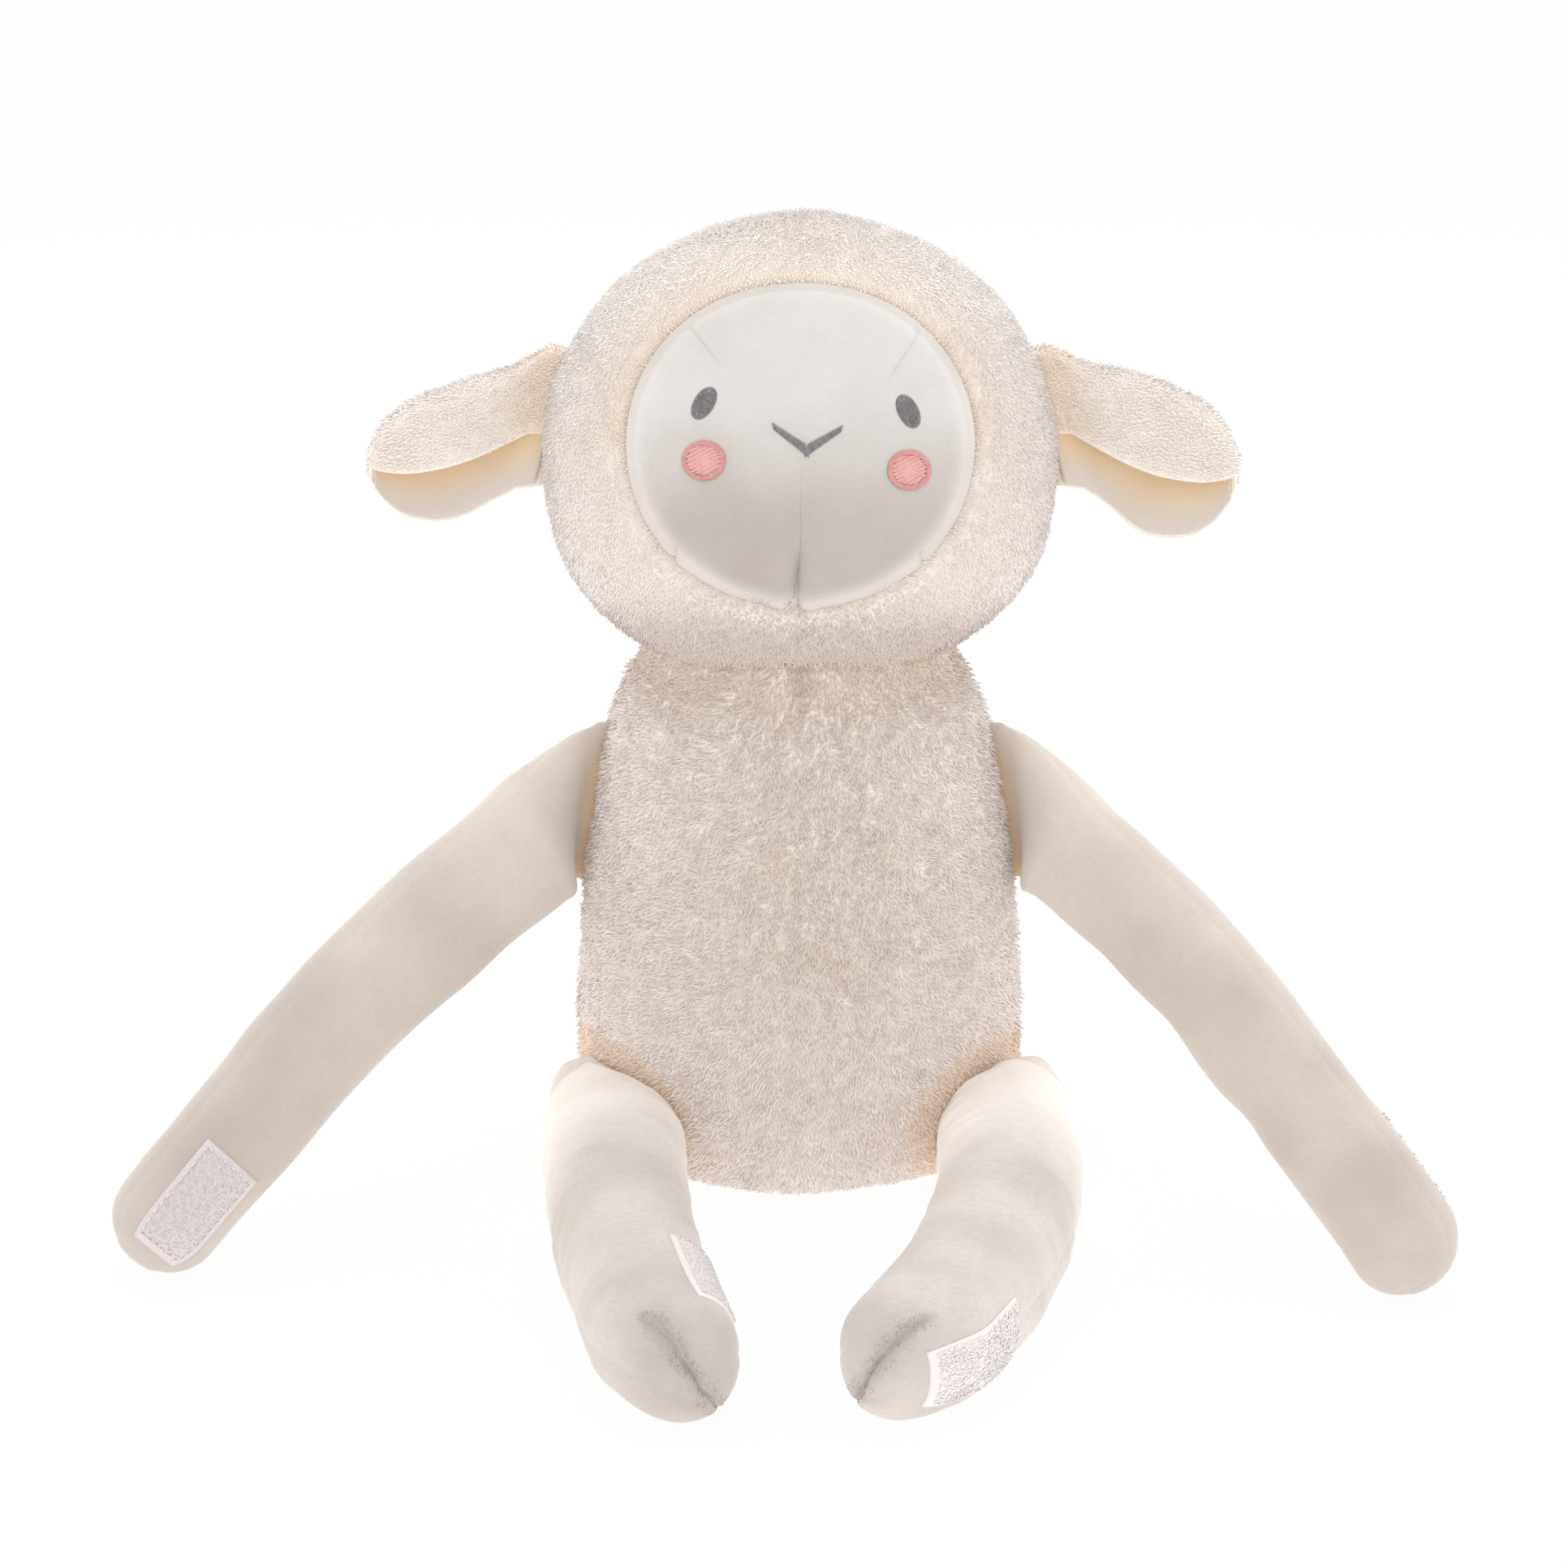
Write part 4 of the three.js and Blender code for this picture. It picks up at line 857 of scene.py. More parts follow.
def velour_material(name, light, dark, painted_fold_light):
    """Short velour: a fine grained nap with sheen, brushed lighter and darker; its nap mark also paints shade,
    its fold mark paints warm light in its folds, and it has a faint painted glow.
    """
    made, start, place = fabric(name)
    nap_and_shade = start.mark("nap_and_shade")
    patch = place.noise(28.0, 4.0).clamp(0.35, 0.75)
    speck = start.vector("MULTIPLY", place, (0.4, 1.0, 1.5)).noise(900.0).clamp(0.35, 0.7)
    # Nap and painted shade: the nap mark darkens the velour, partly for the way its nap is brushed and partly
    # as shade
    colour = (nap_and_shade * 0.75 + patch * 0.3).mix(light, dark)
    colour = (speck * (nap_and_shade * 0.25 + 0.08)).mix(colour, dark)
    # Painted warm light: the fold mark turns the velour warm in folds and corners, for light bounced warm
    # between the parts
    colour = start.mark("fold").mix(colour, painted_fold_light)
    # Painted glow: the velour gives off a faint light of its own colour
    principled(start, {
        "Base Color": colour, "Roughness": 0.95,
        "Normal": (place.noise(1500.0) * 0.6 + place.noise(260.0, 3.0) * 0.8).bump(0.35, 0.5),
        "Sheen Weight": 0.35, "Sheen Roughness": 0.45, "Sheen Tint": (1.0, 0.97, 0.94, 1),
        "Subsurface Weight": 0.15, "Subsurface Radius": (1.0, 0.88, 0.78), "Subsurface Scale": 1.2 * MM,
        "Emission Color": colour, "Emission Strength": 0.07,
    })
    return made


face_velour = velour_material(
    "face_velour", (0.63, 0.603, 0.585, 1), (0.40, 0.355, 0.325, 1), (0.72, 0.60, 0.45, 1))


def along_line(x, z, first, last):
    """Share of the way along a line, and the distance to one side of it."""
    first, last = np.array(first), np.array(last)
    way = last - first
    length = np.linalg.norm(way)
    share = ((x - first[0]) * way[0] + (z - first[1]) * way[1]) / length ** 2
    off = ((x - first[0]) * way[1] - (z - first[1]) * way[0]) / length
    return share, off


def face_form(x, z):
    """How far the velour stands off the head's plain form: darts, pleats and soft unevenness."""
    off = np.zeros_like(x)
    for first, last, depth, width in FACE_DARTS:
        share, away = along_line(x, z, first, last)
        reach = smooth((share + 0.15) / 0.15) * smooth((1 - share) / 0.45)
        off = off - depth * reach * np.exp(-(away / width) ** 2)
        off = off + 0.35 * depth * reach * np.exp(-((np.abs(away) - 2.3 * width) / (1.4 * width)) ** 2)
    return off


shares = np.linspace(0, FACE_REACH, FACE_ROWS)
turn, rim = rim_of(np.linspace(0, 2 * math.pi, FACE_COLUMNS) - math.pi / 2)
flat = head_point(rim * shares[:, None], turn + 0 * shares[:, None], FACE_INSET)
from_rim = np.maximum(1 - shares, 0)[:, None] * FACE_RUN
sink = FACE_RIM_DIP * seam_dip(from_rim, FACE_RIM_DIP_WIDTH)
face = flat + unit(flat) * (face_form(flat[..., 0], flat[..., 2]) - sink
                            + 0.15 * wobble(flat, 17, seed=5) * (1 - seam_dip(from_rim, 8)))[..., None]
# Painted light and shade: the brow is left light where it faces up, and the muzzle below is darker, partly for
# its nap and partly as shade where it faces down
brow = smooth((flat[..., 2] + 26 + 6 * wobble(flat, 20, seed=6)) / 44)
nap_and_shade = (1 - brow) * smooth(from_rim / 10)
# The fold mark paints warm shade in a thin line round the face's rim
marks = {"nap_and_shade": nap_and_shade[:, ::-1], "fold": 0.12 * seam_dip(from_rim, 1.5)}
face_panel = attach(cloth("face", on_head(face)[:, ::-1], FACE_THICKNESS, face_velour, marks), "head")
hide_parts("face_panel")


# Embroidery: eyes, cheeks and mouth in satin stitch, over low padded grounds that keep the cloth covered.
# Each stitch is one short thread, rounded and tucked in at both ends.
THREAD = 0.42
THREAD_SPACING = 0.34
# Each eye: its place on the face's disc and its lean in degrees. Each cheek: its place
EYES = {"right": (-28.3, 15.7, 31), "left": (31.5, 13.4, -27)}
CHEEKS = {"right": (-28.3, -1.0), "left": (31.7, -3.8)}
EYE_HALF = (3.2, 5.3)
CHEEK_HALF = (6.6, 5.9)
CHEEK_RING = 1.6
MOUTH = ((-8.2, 9.0), (1.7, 1.9), (11.9, 8.2))
MOUTH_STROKE = 1.6
MOUTH_TAPER = 0.45
STITCH_RISE = 0.8


def face_point(x, z, lift):
    """Points and normals at a height over the face, in the toy's frame, from places on the disc."""
    def surface_at(px, pz):
        half = np.where(pz > 0, HEAD_TOP, HEAD_CHIN)
        full = np.where(pz > 0, 1.0, fullness(np.arctan2(pz / half, px / HEAD_HALF_WIDTH), HEAD_JOWL))
        forward = np.sqrt(1 - (np.hypot(px / HEAD_HALF_WIDTH, pz / half) / full) ** 2)
        return np.stack([px, -HEAD_FRONT * forward - muzzle(px, pz) * np.sqrt(forward), pz], axis=-1)

    x, z = np.asarray(x, dtype=float), np.asarray(z, dtype=float)
    across = surface_at(x + 0.5, z) - surface_at(x - 0.5, z)
    up = surface_at(x, z + 0.5) - surface_at(x, z - 0.5)
    normal = unit(np.cross(across, up))
    normal = np.where(normal[..., 1:2] > 0, -normal, normal)
    place = on_head(surface_at(x, z) + normal * np.asarray(lift)[..., None])
    return place, on_head(normal) - HEAD_CENTRE


def thread_shape():
    """A stitch one unit long and wide, arched, with both ends tucked in."""
    points = [(-0.5, 0, -0.7), (0.5, 0, -0.7)]
    for x, size in ((-0.38, 0.75), (0.0, 1.0), (0.38, 0.75)):
        points += [(x, size * 0.5 * math.cos(turn), size * 0.5 * math.sin(turn) - 0.25 * (1 - size))
                   for turn in np.linspace(0, 2 * math.pi, 5)[:4]]
    faces = [(0, 2 + (k + 1) % 4, 2 + k) for k in range(4)] + prism_walls(2, 4) + prism_walls(6, 4)
    faces += [(1, 10 + k, 10 + (k + 1) % 4) for k in range(4)]
    return small_shape("thread", points, faces)


def sewn_tree():
    """Puts one shape on every point, turned by the attributes along and up, and as large as size says."""
    tree = bpy.data.node_groups.new("sewn", "GeometryNodeTree")
    given = group_inputs(tree, [
        ("Geometry", "NodeSocketGeometry"), ("Shape", "NodeSocketObject"), ("Finish", "NodeSocketMaterial")])
    start = Wire(tree)
    turned = start.node("FunctionNodeAxesToRotation", {"primary_axis": "Z", "secondary_axis": "X"}, {
        "Primary Axis": attribute(start, "up"), "Secondary Axis": attribute(start, "along")})
    finished(start, placed(start, given["Geometry"], given["Shape"], turned, attribute(start, "size")),
             given["Finish"])
    return tree


thread = thread_shape()
sewn = sewn_tree()


def sew(name, shape, finish, places, along, up, size):
    """One piece of many like shapes, such as stitches, each at its place. size is in millimetres."""
    places = np.asarray(places).reshape(-1, 3)
    made = mesh_of(name, places, [], finish)
    give_vectors(made, along=along + 0 * places, up=up + 0 * places, size=np.asarray(size) * MM + 0 * places)
    return run_tree(made, sewn, {"Shape": shape, "Finish": finish})


def thread_material(name, colour, dark):
    """Rayon thread: satin gloss, twisted strands, and a little darker in small random patches."""
    made, start, place = fabric(name)
    tone = place.noise(900.0, 1.0).clamp(0.35, 0.65)
    principled(start, {"Base Color": tone.mix(dark, colour), "Roughness": 0.42, "Sheen Weight": 0.2,
                       "Normal": place.noise(2600.0).bump(0.35, 0.15)})
    return made


grey_thread = thread_material("grey_thread", (0.28, 0.255, 0.265, 1), (0.19, 0.17, 0.18, 1))
pink_thread = thread_material("pink_thread", (0.87, 0.52, 0.48, 1), (0.82, 0.46, 0.42, 1))
rose_thread = thread_material("rose_thread", (0.77, 0.38, 0.36, 1), (0.68, 0.30, 0.28, 1))


def leaned(w, u, lean):
    """Places of an oval's own frame, in the face's, once the oval leans by so many degrees."""
    cos, sin = math.cos(math.radians(lean)), math.sin(math.radians(lean))
    return w * cos + u * sin, -w * sin + u * cos


def oval_ground(name, x, z, half, lean, finish):
    """A low padded oval under the stitches."""
    share = np.linspace(0, 1, 8)[:, None]
    turn = np.linspace(0, 2 * math.pi, 40)[None, :]
    px, pz = leaned(half[0] * share * np.cos(turn), half[1] * share * np.sin(turn), lean)
    lift = STITCH_RISE * (1 - 0.6 * share ** 2) + 0 * turn
    top = face_point(x + px, z + pz, lift)[0]
    low = face_point(x + px, z + pz, -1.0 + 0 * lift)[0]
    return skin(name, np.concatenate([top, low[::-1]]), finish)


def oval_stitches(x, z, half, lean, length, spacing, upright):
    """Staggered rows of stitches that fill an oval, upright or across it: their places and directions."""
    spots = []
    rows = int(half[0 if upright else 1] * 2 / spacing) + 1
    reach = max(half)
    for row in range(rows):
        side = (row - (rows - 1) / 2) * spacing
        for step in np.arange(-reach - length, reach + length, length * 0.92):
            run = step + (row % 3) * length / 3
            w, u = (side, run) if upright else (run, side)
            if (w / half[0]) ** 2 + (u / half[1]) ** 2 < 0.93:
                px, pz = leaned(w, u, lean)
                spots.append((x + px, z + pz))
    return np.array(spots), np.broadcast_to(leaned(*((0, 1) if upright else (1, 0)), lean), (len(spots), 2))


def stitch_piece(name, finish, spots, ahead, length, lift, width=THREAD):
    """Stitches on the face, from places and directions on the disc."""
    lift = np.broadcast_to(lift, spots.shape[:1])
    places, up = face_point(*spots.T, lift)
    forward = face_point(*(spots + ahead * 0.3).T, lift)[0]
    length = np.broadcast_to(length, lift.shape)
    size = np.stack([length, np.full_like(length, width), np.full_like(length, width * 1.2)], axis=-1)
    return sew(name, thread, finish, places, forward - places, up, size)


def oval_edge(x, z, half, lean, inward, spacing):
    """Satin stitches across the edge of an oval, side by side all the way round."""
    count = int(math.pi * (half[0] + half[1]) / spacing)
    turn = np.arange(count) / count * 2 * math.pi
    px, pz = leaned((half[0] - inward) * np.cos(turn), (half[1] - inward) * np.sin(turn), lean)
    ahead = np.stack(leaned(np.cos(turn) / half[0], np.sin(turn) / half[1], lean), axis=-1)
    return np.stack([x + px, z + pz], axis=-1), unit(ahead)


def on_face(made, slot, *nodes):
    """Rides a piece of embroidery on the head, in place of the CAD nodes that it shows, if it shows any."""
    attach(made, "head")
    if nodes:
        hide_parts(*nodes)


for side in ("right", "left"):
    x, z, lean = EYES[side]
    on_face(oval_ground(f"{side}_eye_ground", x, z, EYE_HALF, lean, grey_thread), "grey_thread", f"{side}_eye")
    stitches = oval_stitches(x, z, [half - 0.9 for half in EYE_HALF], lean, 2.6, THREAD_SPACING, True)
    on_face(stitch_piece(f"{side}_eye_threads", grey_thread, *stitches, 2.9, STITCH_RISE), "grey_thread")
    stitches = oval_edge(x, z, EYE_HALF, lean, 0.6, THREAD_SPACING)
    on_face(stitch_piece(f"{side}_eye_edge", grey_thread, *stitches, 1.5, 0.6), "grey_thread")
    x, z = CHEEKS[side]
    on_face(oval_ground(f"{side}_cheek_ground", x, z, [half - 0.3 for half in CHEEK_HALF], 0, pink_thread),
            "pink_thread", f"{side}_cheek_fill")
    stitches = oval_stitches(x, z, [half - CHEEK_RING + 0.3 for half in CHEEK_HALF], 0, 2.5, 0.42, False)
    on_face(stitch_piece(f"{side}_cheek_threads", pink_thread, *stitches, 2.7, STITCH_RISE, 0.5), "pink_thread")
    stitches = oval_edge(x, z, CHEEK_HALF, 0, CHEEK_RING / 2, THREAD_SPACING)
    on_face(stitch_piece(f"{side}_cheek_ring_threads", rose_thread, *stitches, CHEEK_RING * 1.15, 0.9),
            "rose_thread", f"{side}_cheek_ring")

# The mouth is a V of upright stitches that get shorter towards its ends
spots, ahead, lengths = [], [], []
low = np.array(MOUTH[1])
for end in (np.array(MOUTH[0]), np.array(MOUTH[2])):
    run = np.linalg.norm(end - low)
    way = (end - low) / run
    for step in np.arange(0.0, run, THREAD_SPACING):
        spots.append(low + way * step)
        ahead.append((0.35 * way[0], 1.0))
        lengths.append(3 * MOUTH_STROKE * (1 - MOUTH_TAPER * step / run))
mouth = stitch_piece(
    "mouth_threads", grey_thread, np.array(spots), unit(np.array(ahead)), np.array(lengths), 0.8)
on_face(mouth, "grey_thread", "nose_mouth")


# Ears: a leaf of pile lined with velour, hooked over at the top so that its lining shows below the fold.
# Each is sewn into the ear seam by its open end, which lies on the head's side.
EAR_HALF_HEIGHT = 23
EAR_DEPTH = 17
EAR_FLAP = 0.62
EAR_ROOT_HEIGHT = 12
EAR_LEAN = 15
EAR_FORWARD = 8
EAR_SHELL = 3.2
EAR_PILE_DEPTH = 1.2
EAR_BACKING = 1.6
EAR_LUMP = 0.8
EAR_LUMP_SIZE = 14
LINING_THICKNESS = 1.2
LINING_LUMP = 0.5
LINING_LUMP_SIZE = 12
EAR_PILE = (0.75, 2.1, 1.0, 1.0, 2.0, 0.9)
EAR_BEAD = 3
# Each ear: its side of the toy, its reach, how far its tip sags, and how much wider it grows
EARS = {"right": (-1, 50, 14, 1.0), "left": (1, 52, 16, 1.18)}
# Outline of an ear: the run from its root, and shares of the full half height and depth
EAR_RUN = (-0.16, 0, 0.18, 0.42, 0.64, 0.81, 0.93, 1)
EAR_HEIGHT_SHARE = (0.95, 1, 0.93, 0.92, 0.86, 0.72, 0.48, 0.24)
EAR_DEPTH_SHARE = (0.34, 0.46, 0.78, 1, 1, 0.9, 0.72, 0.5)


def through(place, places, values):
    """A smooth line through the given values, read at a place."""
    places, values = np.asarray(places, dtype=float), np.asarray(values, dtype=float)
    slopes = np.gradient(values, places)
    i = np.clip(np.searchsorted(places, place) - 1, 0, len(places) - 2)
    gap = places[i + 1] - places[i]
    t = np.clip((place - places[i]) / gap, 0, 1)
    return ((2 * t ** 3 - 3 * t ** 2 + 1) * values[i] + (t ** 3 - 2 * t ** 2 + t) * gap * slopes[i]
            + (3 * t ** 2 - 2 * t ** 3) * values[i + 1] + (t ** 3 - t ** 2) * gap * slopes[i + 1])


def ear_fold(share, half_height, depth):
    """Place and normal on the folded section, from the back wall's low lip over the top and down the flap."""
    round_ = depth / 2
    wall = 2 * half_height - round_
    arc = math.pi * round_
    run = share * (wall + arc + 2 * half_height * EAR_FLAP - round_)
    if run < wall:
        return round_, -half_height + run, 1, 0
    if run < wall + arc:
        cos, sin = math.cos((run - wall) / round_), math.sin((run - wall) / round_)
        return round_ * cos, half_height - round_ + round_ * sin, cos, sin
    return -round_, half_height - round_ - (run - wall - arc), -1, 0


def on_ear(made, side):
    """Bakes a piece of an ear into its mesh where it stands. The two ends of the ear's root line are worked
    out, but nothing uses them.
    """
    start, end = ear_grid(side, (0.02, 0.3), (0.3,), 0)[:, 0] * MM
    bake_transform(made)
    return made


def grid_is_forward(grid):
    """Whether a grid of an ear still begins at the low lip of its back wall."""
    return grid[0, 0, 2] < grid[0, grid.shape[1] // 2, 2] and grid[0, 0, 1] > grid[0, -1, 1]


def ear_grid(side, runs, folds, inset):
    """An ear in rows from its root to its tip, at shares of the way round its folded section."""
    sign, reach, droop, spread = EARS[side]
    root = head_point(np.array(math.pi / 2), np.array(math.asin(EAR_ROOT_HEIGHT / HEAD_TOP)), -(0.3 + EAR_BEAD))
    rows = []
    for run in runs:
        height = EAR_HALF_HEIGHT * through(run, EAR_RUN, EAR_HEIGHT_SHARE) * lerp(1, spread, smooth(run * 2))
        depth = EAR_DEPTH * through(run, EAR_RUN, EAR_DEPTH_SHARE)
        out = max(run, 0)
        lean = math.radians(EAR_LEAN) * (1 - min(out * 2, 1))
        sag = droop * (1 - (1 - out) ** 2)
        row = []
        for share in folds:
            y, z, ny, nz = ear_fold(share, height, depth)
            y, z = y - ny * inset, z - nz * inset
            row.append((sign * (root[0] + run * reach - z * math.sin(lean)), root[1] + y - EAR_FORWARD * out,
                        root[2] + z * math.cos(lean) - sag))
        rows.append(row)
    return on_head(np.array(rows))


ear_velour = velour_material(
    "ear_velour", (0.64, 0.58, 0.53, 1), (0.55, 0.48, 0.41, 1), (0.73, 0.54, 0.33, 1))
ear_pile_material = pile_material(
    "ear_pile", (0.78, 0.69, 0.63, 1), (0.84, 0.79, 0.765, 1), (0.68, 0.60, 0.55, 1), 0.3)

for side in ("right", "left"):
    sign = EARS[side][0]
    fold_shares = np.linspace(0, 1, 96)
    run_shares = np.concatenate([np.linspace(EAR_RUN[0], 0.8, 40), np.linspace(0.82, 1, 16)])
    grid = facing_out(ear_grid(side, run_shares, fold_shares, EAR_PILE_DEPTH))
    grid = lumpy(grid, EAR_LUMP, EAR_LUMP_SIZE, 8 + sign)
    shell = cloth(f"{side}_ear_shell", grid, EAR_BACKING, backing_material)
    on_ear(shell, side)
    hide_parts(f"{side}_ear_outer")
    outwards = np.broadcast_to(np.array([sign * 0.8, 0.0, -0.35]), grid.shape)
    # The lining is turned out as a plain border along the flap, and the pile is clipped short on every edge
    turned = fold_shares if grid_is_forward(grid) else fold_shares[::-1]
    border = smooth((0.93 - turned) / 0.02) * smooth(turned / 0.05)
    # The crease mark paints warm light near the ear's root, where it meets the head
    marks = {"trim": border[None, :] * (0.25 + 0.75 * smooth((1 - run_shares) / 0.12))[:, None],
             "crease": 0.45 * smooth((0.3 - run_shares) / 0.4)[:, None]}
    grown = grow_pile(f"{side}_ear_pile", grid, brushed(grid, outwards), marks, ear_pile_material, 11 + sign,
                      *EAR_PILE)
    on_ear(grown, side)
    lining = ear_grid(side, np.linspace(-0.12, 0.965, 52), np.linspace(0.015, 0.985, 90), EAR_SHELL + 0.1)
    if (sheet_normals(lining)[5, 20] * (lining[5, 20] - lining.mean(axis=(0, 1)))).sum() > 0:
        lining = lining[:, ::-1]
    deep = 1 - np.abs(np.linspace(0, 1, 90) - 0.5)[None, :] * 2
    lining = lumpy(lining, LINING_LUMP, LINING_LUMP_SIZE, 12 + sign)
    # Painted warm shade deep in the pocket of the lining, through its fold mark
    inside = cloth(f"{side}_ear_inside", lining, -LINING_THICKNESS, ear_velour,
                   {"fold": 0.95 * smooth(deep * 2.2), "nap_and_shade": 0.2})
    on_ear(inside, side)
    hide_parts(f"{side}_ear_lining")


# Arms: long tubes of velour in two panels, sewn along both edges and loosely stuffed.
# They are closed flat where they are sewn into the side seams, and hang out to the floor.
# What arms and legs share is here too: their section, their stuffing and the flat places under their pads.
LIMB_FULLNESS = 2.3
LIMB_FLOOR_GAP = 0.2
FLAT_DEPTH = 0.5
ARM_ROOT_TOP = 144
ARM_ROOT_BOTTOM = 89.5
ARM_REACH = 155
ARM_TIP_HALF_WIDTH = 17.5
ARM_TIP_HALF_THICKNESS = 16.5
ARM_HALF_THICKNESS = 17
ARM_FLARE = 24
ARM_NARROWING = 28
ARM_GIRTH = 19
DIMPLE_GIRTH = 20
ARM_BEAD = 1.9
LIMB_END = 17
LIMB_ROWS = 88
LIMB_COLUMNS = 45
# How many times finer a limb's grid is once it is stuffed
LIMB_FINENESS = 3
ROOT_TUCK = 5.0
# Shares of the way over a limb's round end, closer together towards its tip
TIP_STEPS = np.sin(np.linspace(0, math.pi / 2, 14))
# Each arm: its side of the toy, its azimuth in degrees, its arch, and its half width below the root
ARMS = {"right": (-1, 36.4, 14, 23), "left": (1, 43, 18, 21)}
# Dimples and bumps, where the stuffing is thin or bunched: run, turn in degrees, two half sizes, and depth
ARM_DIMPLES = {
    "right": [(118, 250, 10, 8, 1.6), (92, 285, 8, 7, 1.2), (38, 190, 18, 12, -1.2), (150, 240, 9, 7, 0.8),
              (20, 270, 10, 14, 1.5)],
    "left": [(58, 185, 7, 9, 2.4), (92, 190, 8, 10, 3.0), (30, 200, 8, 8, 2.0), (128, 215, 8, 8, 1.6),
             (75, 260, 14, 9, 1.0), (20, 270, 10, 14, 1.5)],
}
SEAM_DIP = 0.5
SEAM_WIDTH = 1.3
# The stuffing: how far in the cloth starts, how far a point may move and how hard it is pressed,
# how often the change is evened out, and how firmly the seams hold
SWELL_START = 0.9
SWELL_LIMIT = 3.2
SWELL_PRESSURE = 4.0
SWELL_CALMING = 80
SEAM_HOLD = 0.9
# Degrees to each side of a seam that it holds, and rows at a limb's end that stay where they are
SEAM_STRIP = 5
HELD_ROWS = 4
SWELL_FRAMES = 20
SWELL_CLOTH = {
    "quality": 6, "mass": 0.15, "tension_stiffness": 12, "compression_stiffness": 12, "shear_stiffness": 6,
    "bending_stiffness": 0.3, "use_pressure": True, "uniform_pressure_force": SWELL_PRESSURE,
    "shrink_min": -0.05, "vertex_group_mass": "held",
}
# Pads of tape on the limbs
PAD_LENGTH = 36
PAD_WIDTH = 20
PAD_GAP = 0.05
# How far round a pad the cloth eases back to its own form
PAD_EASE = 5
# Each pad: its kind, the angle of its middle round the limb, and its shift towards the end
ARM_PADS = {"right": ("hook", 68, 11), "left": ("loop", 90, 0)}
LEG_PADS = {"right": ("hook", 38, 0), "left": ("loop", -5, 8)}


def bend_line(points, count=400):
    """A quadratic curve through three points: its places at equal steps, its directions and its length."""
    share = np.linspace(0, 1, count)[:, None]
    a, b, c = [np.array(point, dtype=float) for point in points]
    line = (1 - share) ** 2 * a + 2 * share * (1 - share) * b + share ** 2 * c
    way = 2 * (1 - share) * (b - a) + 2 * share * (c - b)
    along = np.concatenate([[0], np.cumsum(np.linalg.norm(np.diff(line, axis=0), axis=1))])
    return line, unit(way), along


def on_line(bend, run):
    """The place and direction at a run along a curve, carried straight on past its end."""
    line, way, along = bend
    held = min(max(run, 0), along[-1])
    place = np.array([np.interp(held, along, line[:, k]) for k in range(3)])
    tangent = unit(np.array([np.interp(held, along, way[:, k]) for k in range(3)]))
    return place + tangent * max(run - along[-1], 0), tangent


def section(turn):
    """Places round a limb's full section, on a half size of one."""
    cos, sin = np.cos(turn), np.sin(turn)
    power = 2 / LIMB_FULLNESS
    return np.sign(cos) * np.abs(cos) ** power, np.sign(sin) * np.abs(sin) ** power


def end_share(run, length):
    """How much of its size a limb has left at a run past its length, where it rounds off."""
    past = max(run - length, 0) / LIMB_END
    return math.sqrt(max(1 - past * past, 0))


class Arm:
    """The form of an arm: rings at a run along it, wide across the seams and thick across the panels."""
    girth = (ARM_TIP_HALF_WIDTH + ARM_TIP_HALF_THICKNESS) / 2

    def __init__(self, side):
        sign, azimuth, arch, self.half_width = ARMS[side]
        heights = np.linspace(ARM_ROOT_BOTTOM, ARM_ROOT_TOP, 13)
        widths = np.array([body_half(height, 0)[0] for height in heights])
        stand = (widths - np.linspace(widths[0], widths[-1], 13)).max() + 0.3 + ARM_BEAD
        top, bottom = [np.array([sign * (body_half(height, 0)[0] + stand), body_setback(height), height])
                       for height in (ARM_ROOT_TOP, ARM_ROOT_BOTTOM)]
        turn = math.radians(azimuth)
        self.out = np.array([sign * math.cos(turn), -math.sin(turn), 0])
        self.root = (top + bottom) / 2
        self.root_up = unit(top - bottom)
        tip = self.root + self.out * ARM_REACH
        tip[2] = ARM_TIP_HALF_WIDTH - FLAT_DEPTH
        self.bend = bend_line([self.root, (self.root + tip) / 2 + np.array([0, 0, arch]), tip])
        self.length = self.bend[2][-1]
        self.plane = unit(np.cross([0, 0, 1], self.out))
        self.root_out = unit(self.out - self.root_up * self.out.dot(self.root_up))
        self.root_half = np.linalg.norm(top - bottom) / 2

    def ring(self, run, turn, inset):
        centre, tangent = on_line(self.bend, run)
        centre = centre + self.root_out * min(run, 0)
        turned = float(smooth(run / ARM_FLARE))
        upright = unit(np.cross(tangent, self.plane))
        upright = upright if upright[2] > 0 else -upright
        wide = unit(lerp(self.root_up, upright, turned))
        thick = unit(lerp(unit(np.cross(wide, self.out)), unit(np.cross(upright, tangent)), turned))
        share = min(max(run, 0) / self.length, 1)
        full_wide = lerp(self.root_half, lerp(self.half_width, ARM_TIP_HALF_WIDTH, share),
                         float(smooth(run / ARM_NARROWING)))
        full_wide = full_wide * (1 - 0.04 * float(smooth((7 - run) / 7)))
        full_thick = lerp(ARM_BEAD, lerp(ARM_HALF_THICKNESS, ARM_TIP_HALF_THICKNESS, share), turned)
        u, w = section(turn)
        end = end_share(run, self.length)
        return (centre + np.outer(u * max(full_wide - inset, 0.2) * end, wide)
                + np.outer(w * max(full_thick - inset, full_thick * 0.35) * end, thick))

    def settled(self, points):
        """An arm keeps one width to its end."""
        return points


def calmed(field):
    """A change round a tube, evened out between neighbours: its broad swelling stays, and its creases go."""
    for _ in range(SWELL_CALMING):
        beside = (np.roll(field, 1, axis=1) + np.roll(field, -1, axis=1)) / 2
        ends = np.pad(field, ((1, 1), (0, 0), (0, 0)), "edge")
        field = field / 2 + beside / 4 + (ends[:-2] + ends[2:]) / 8
    return field


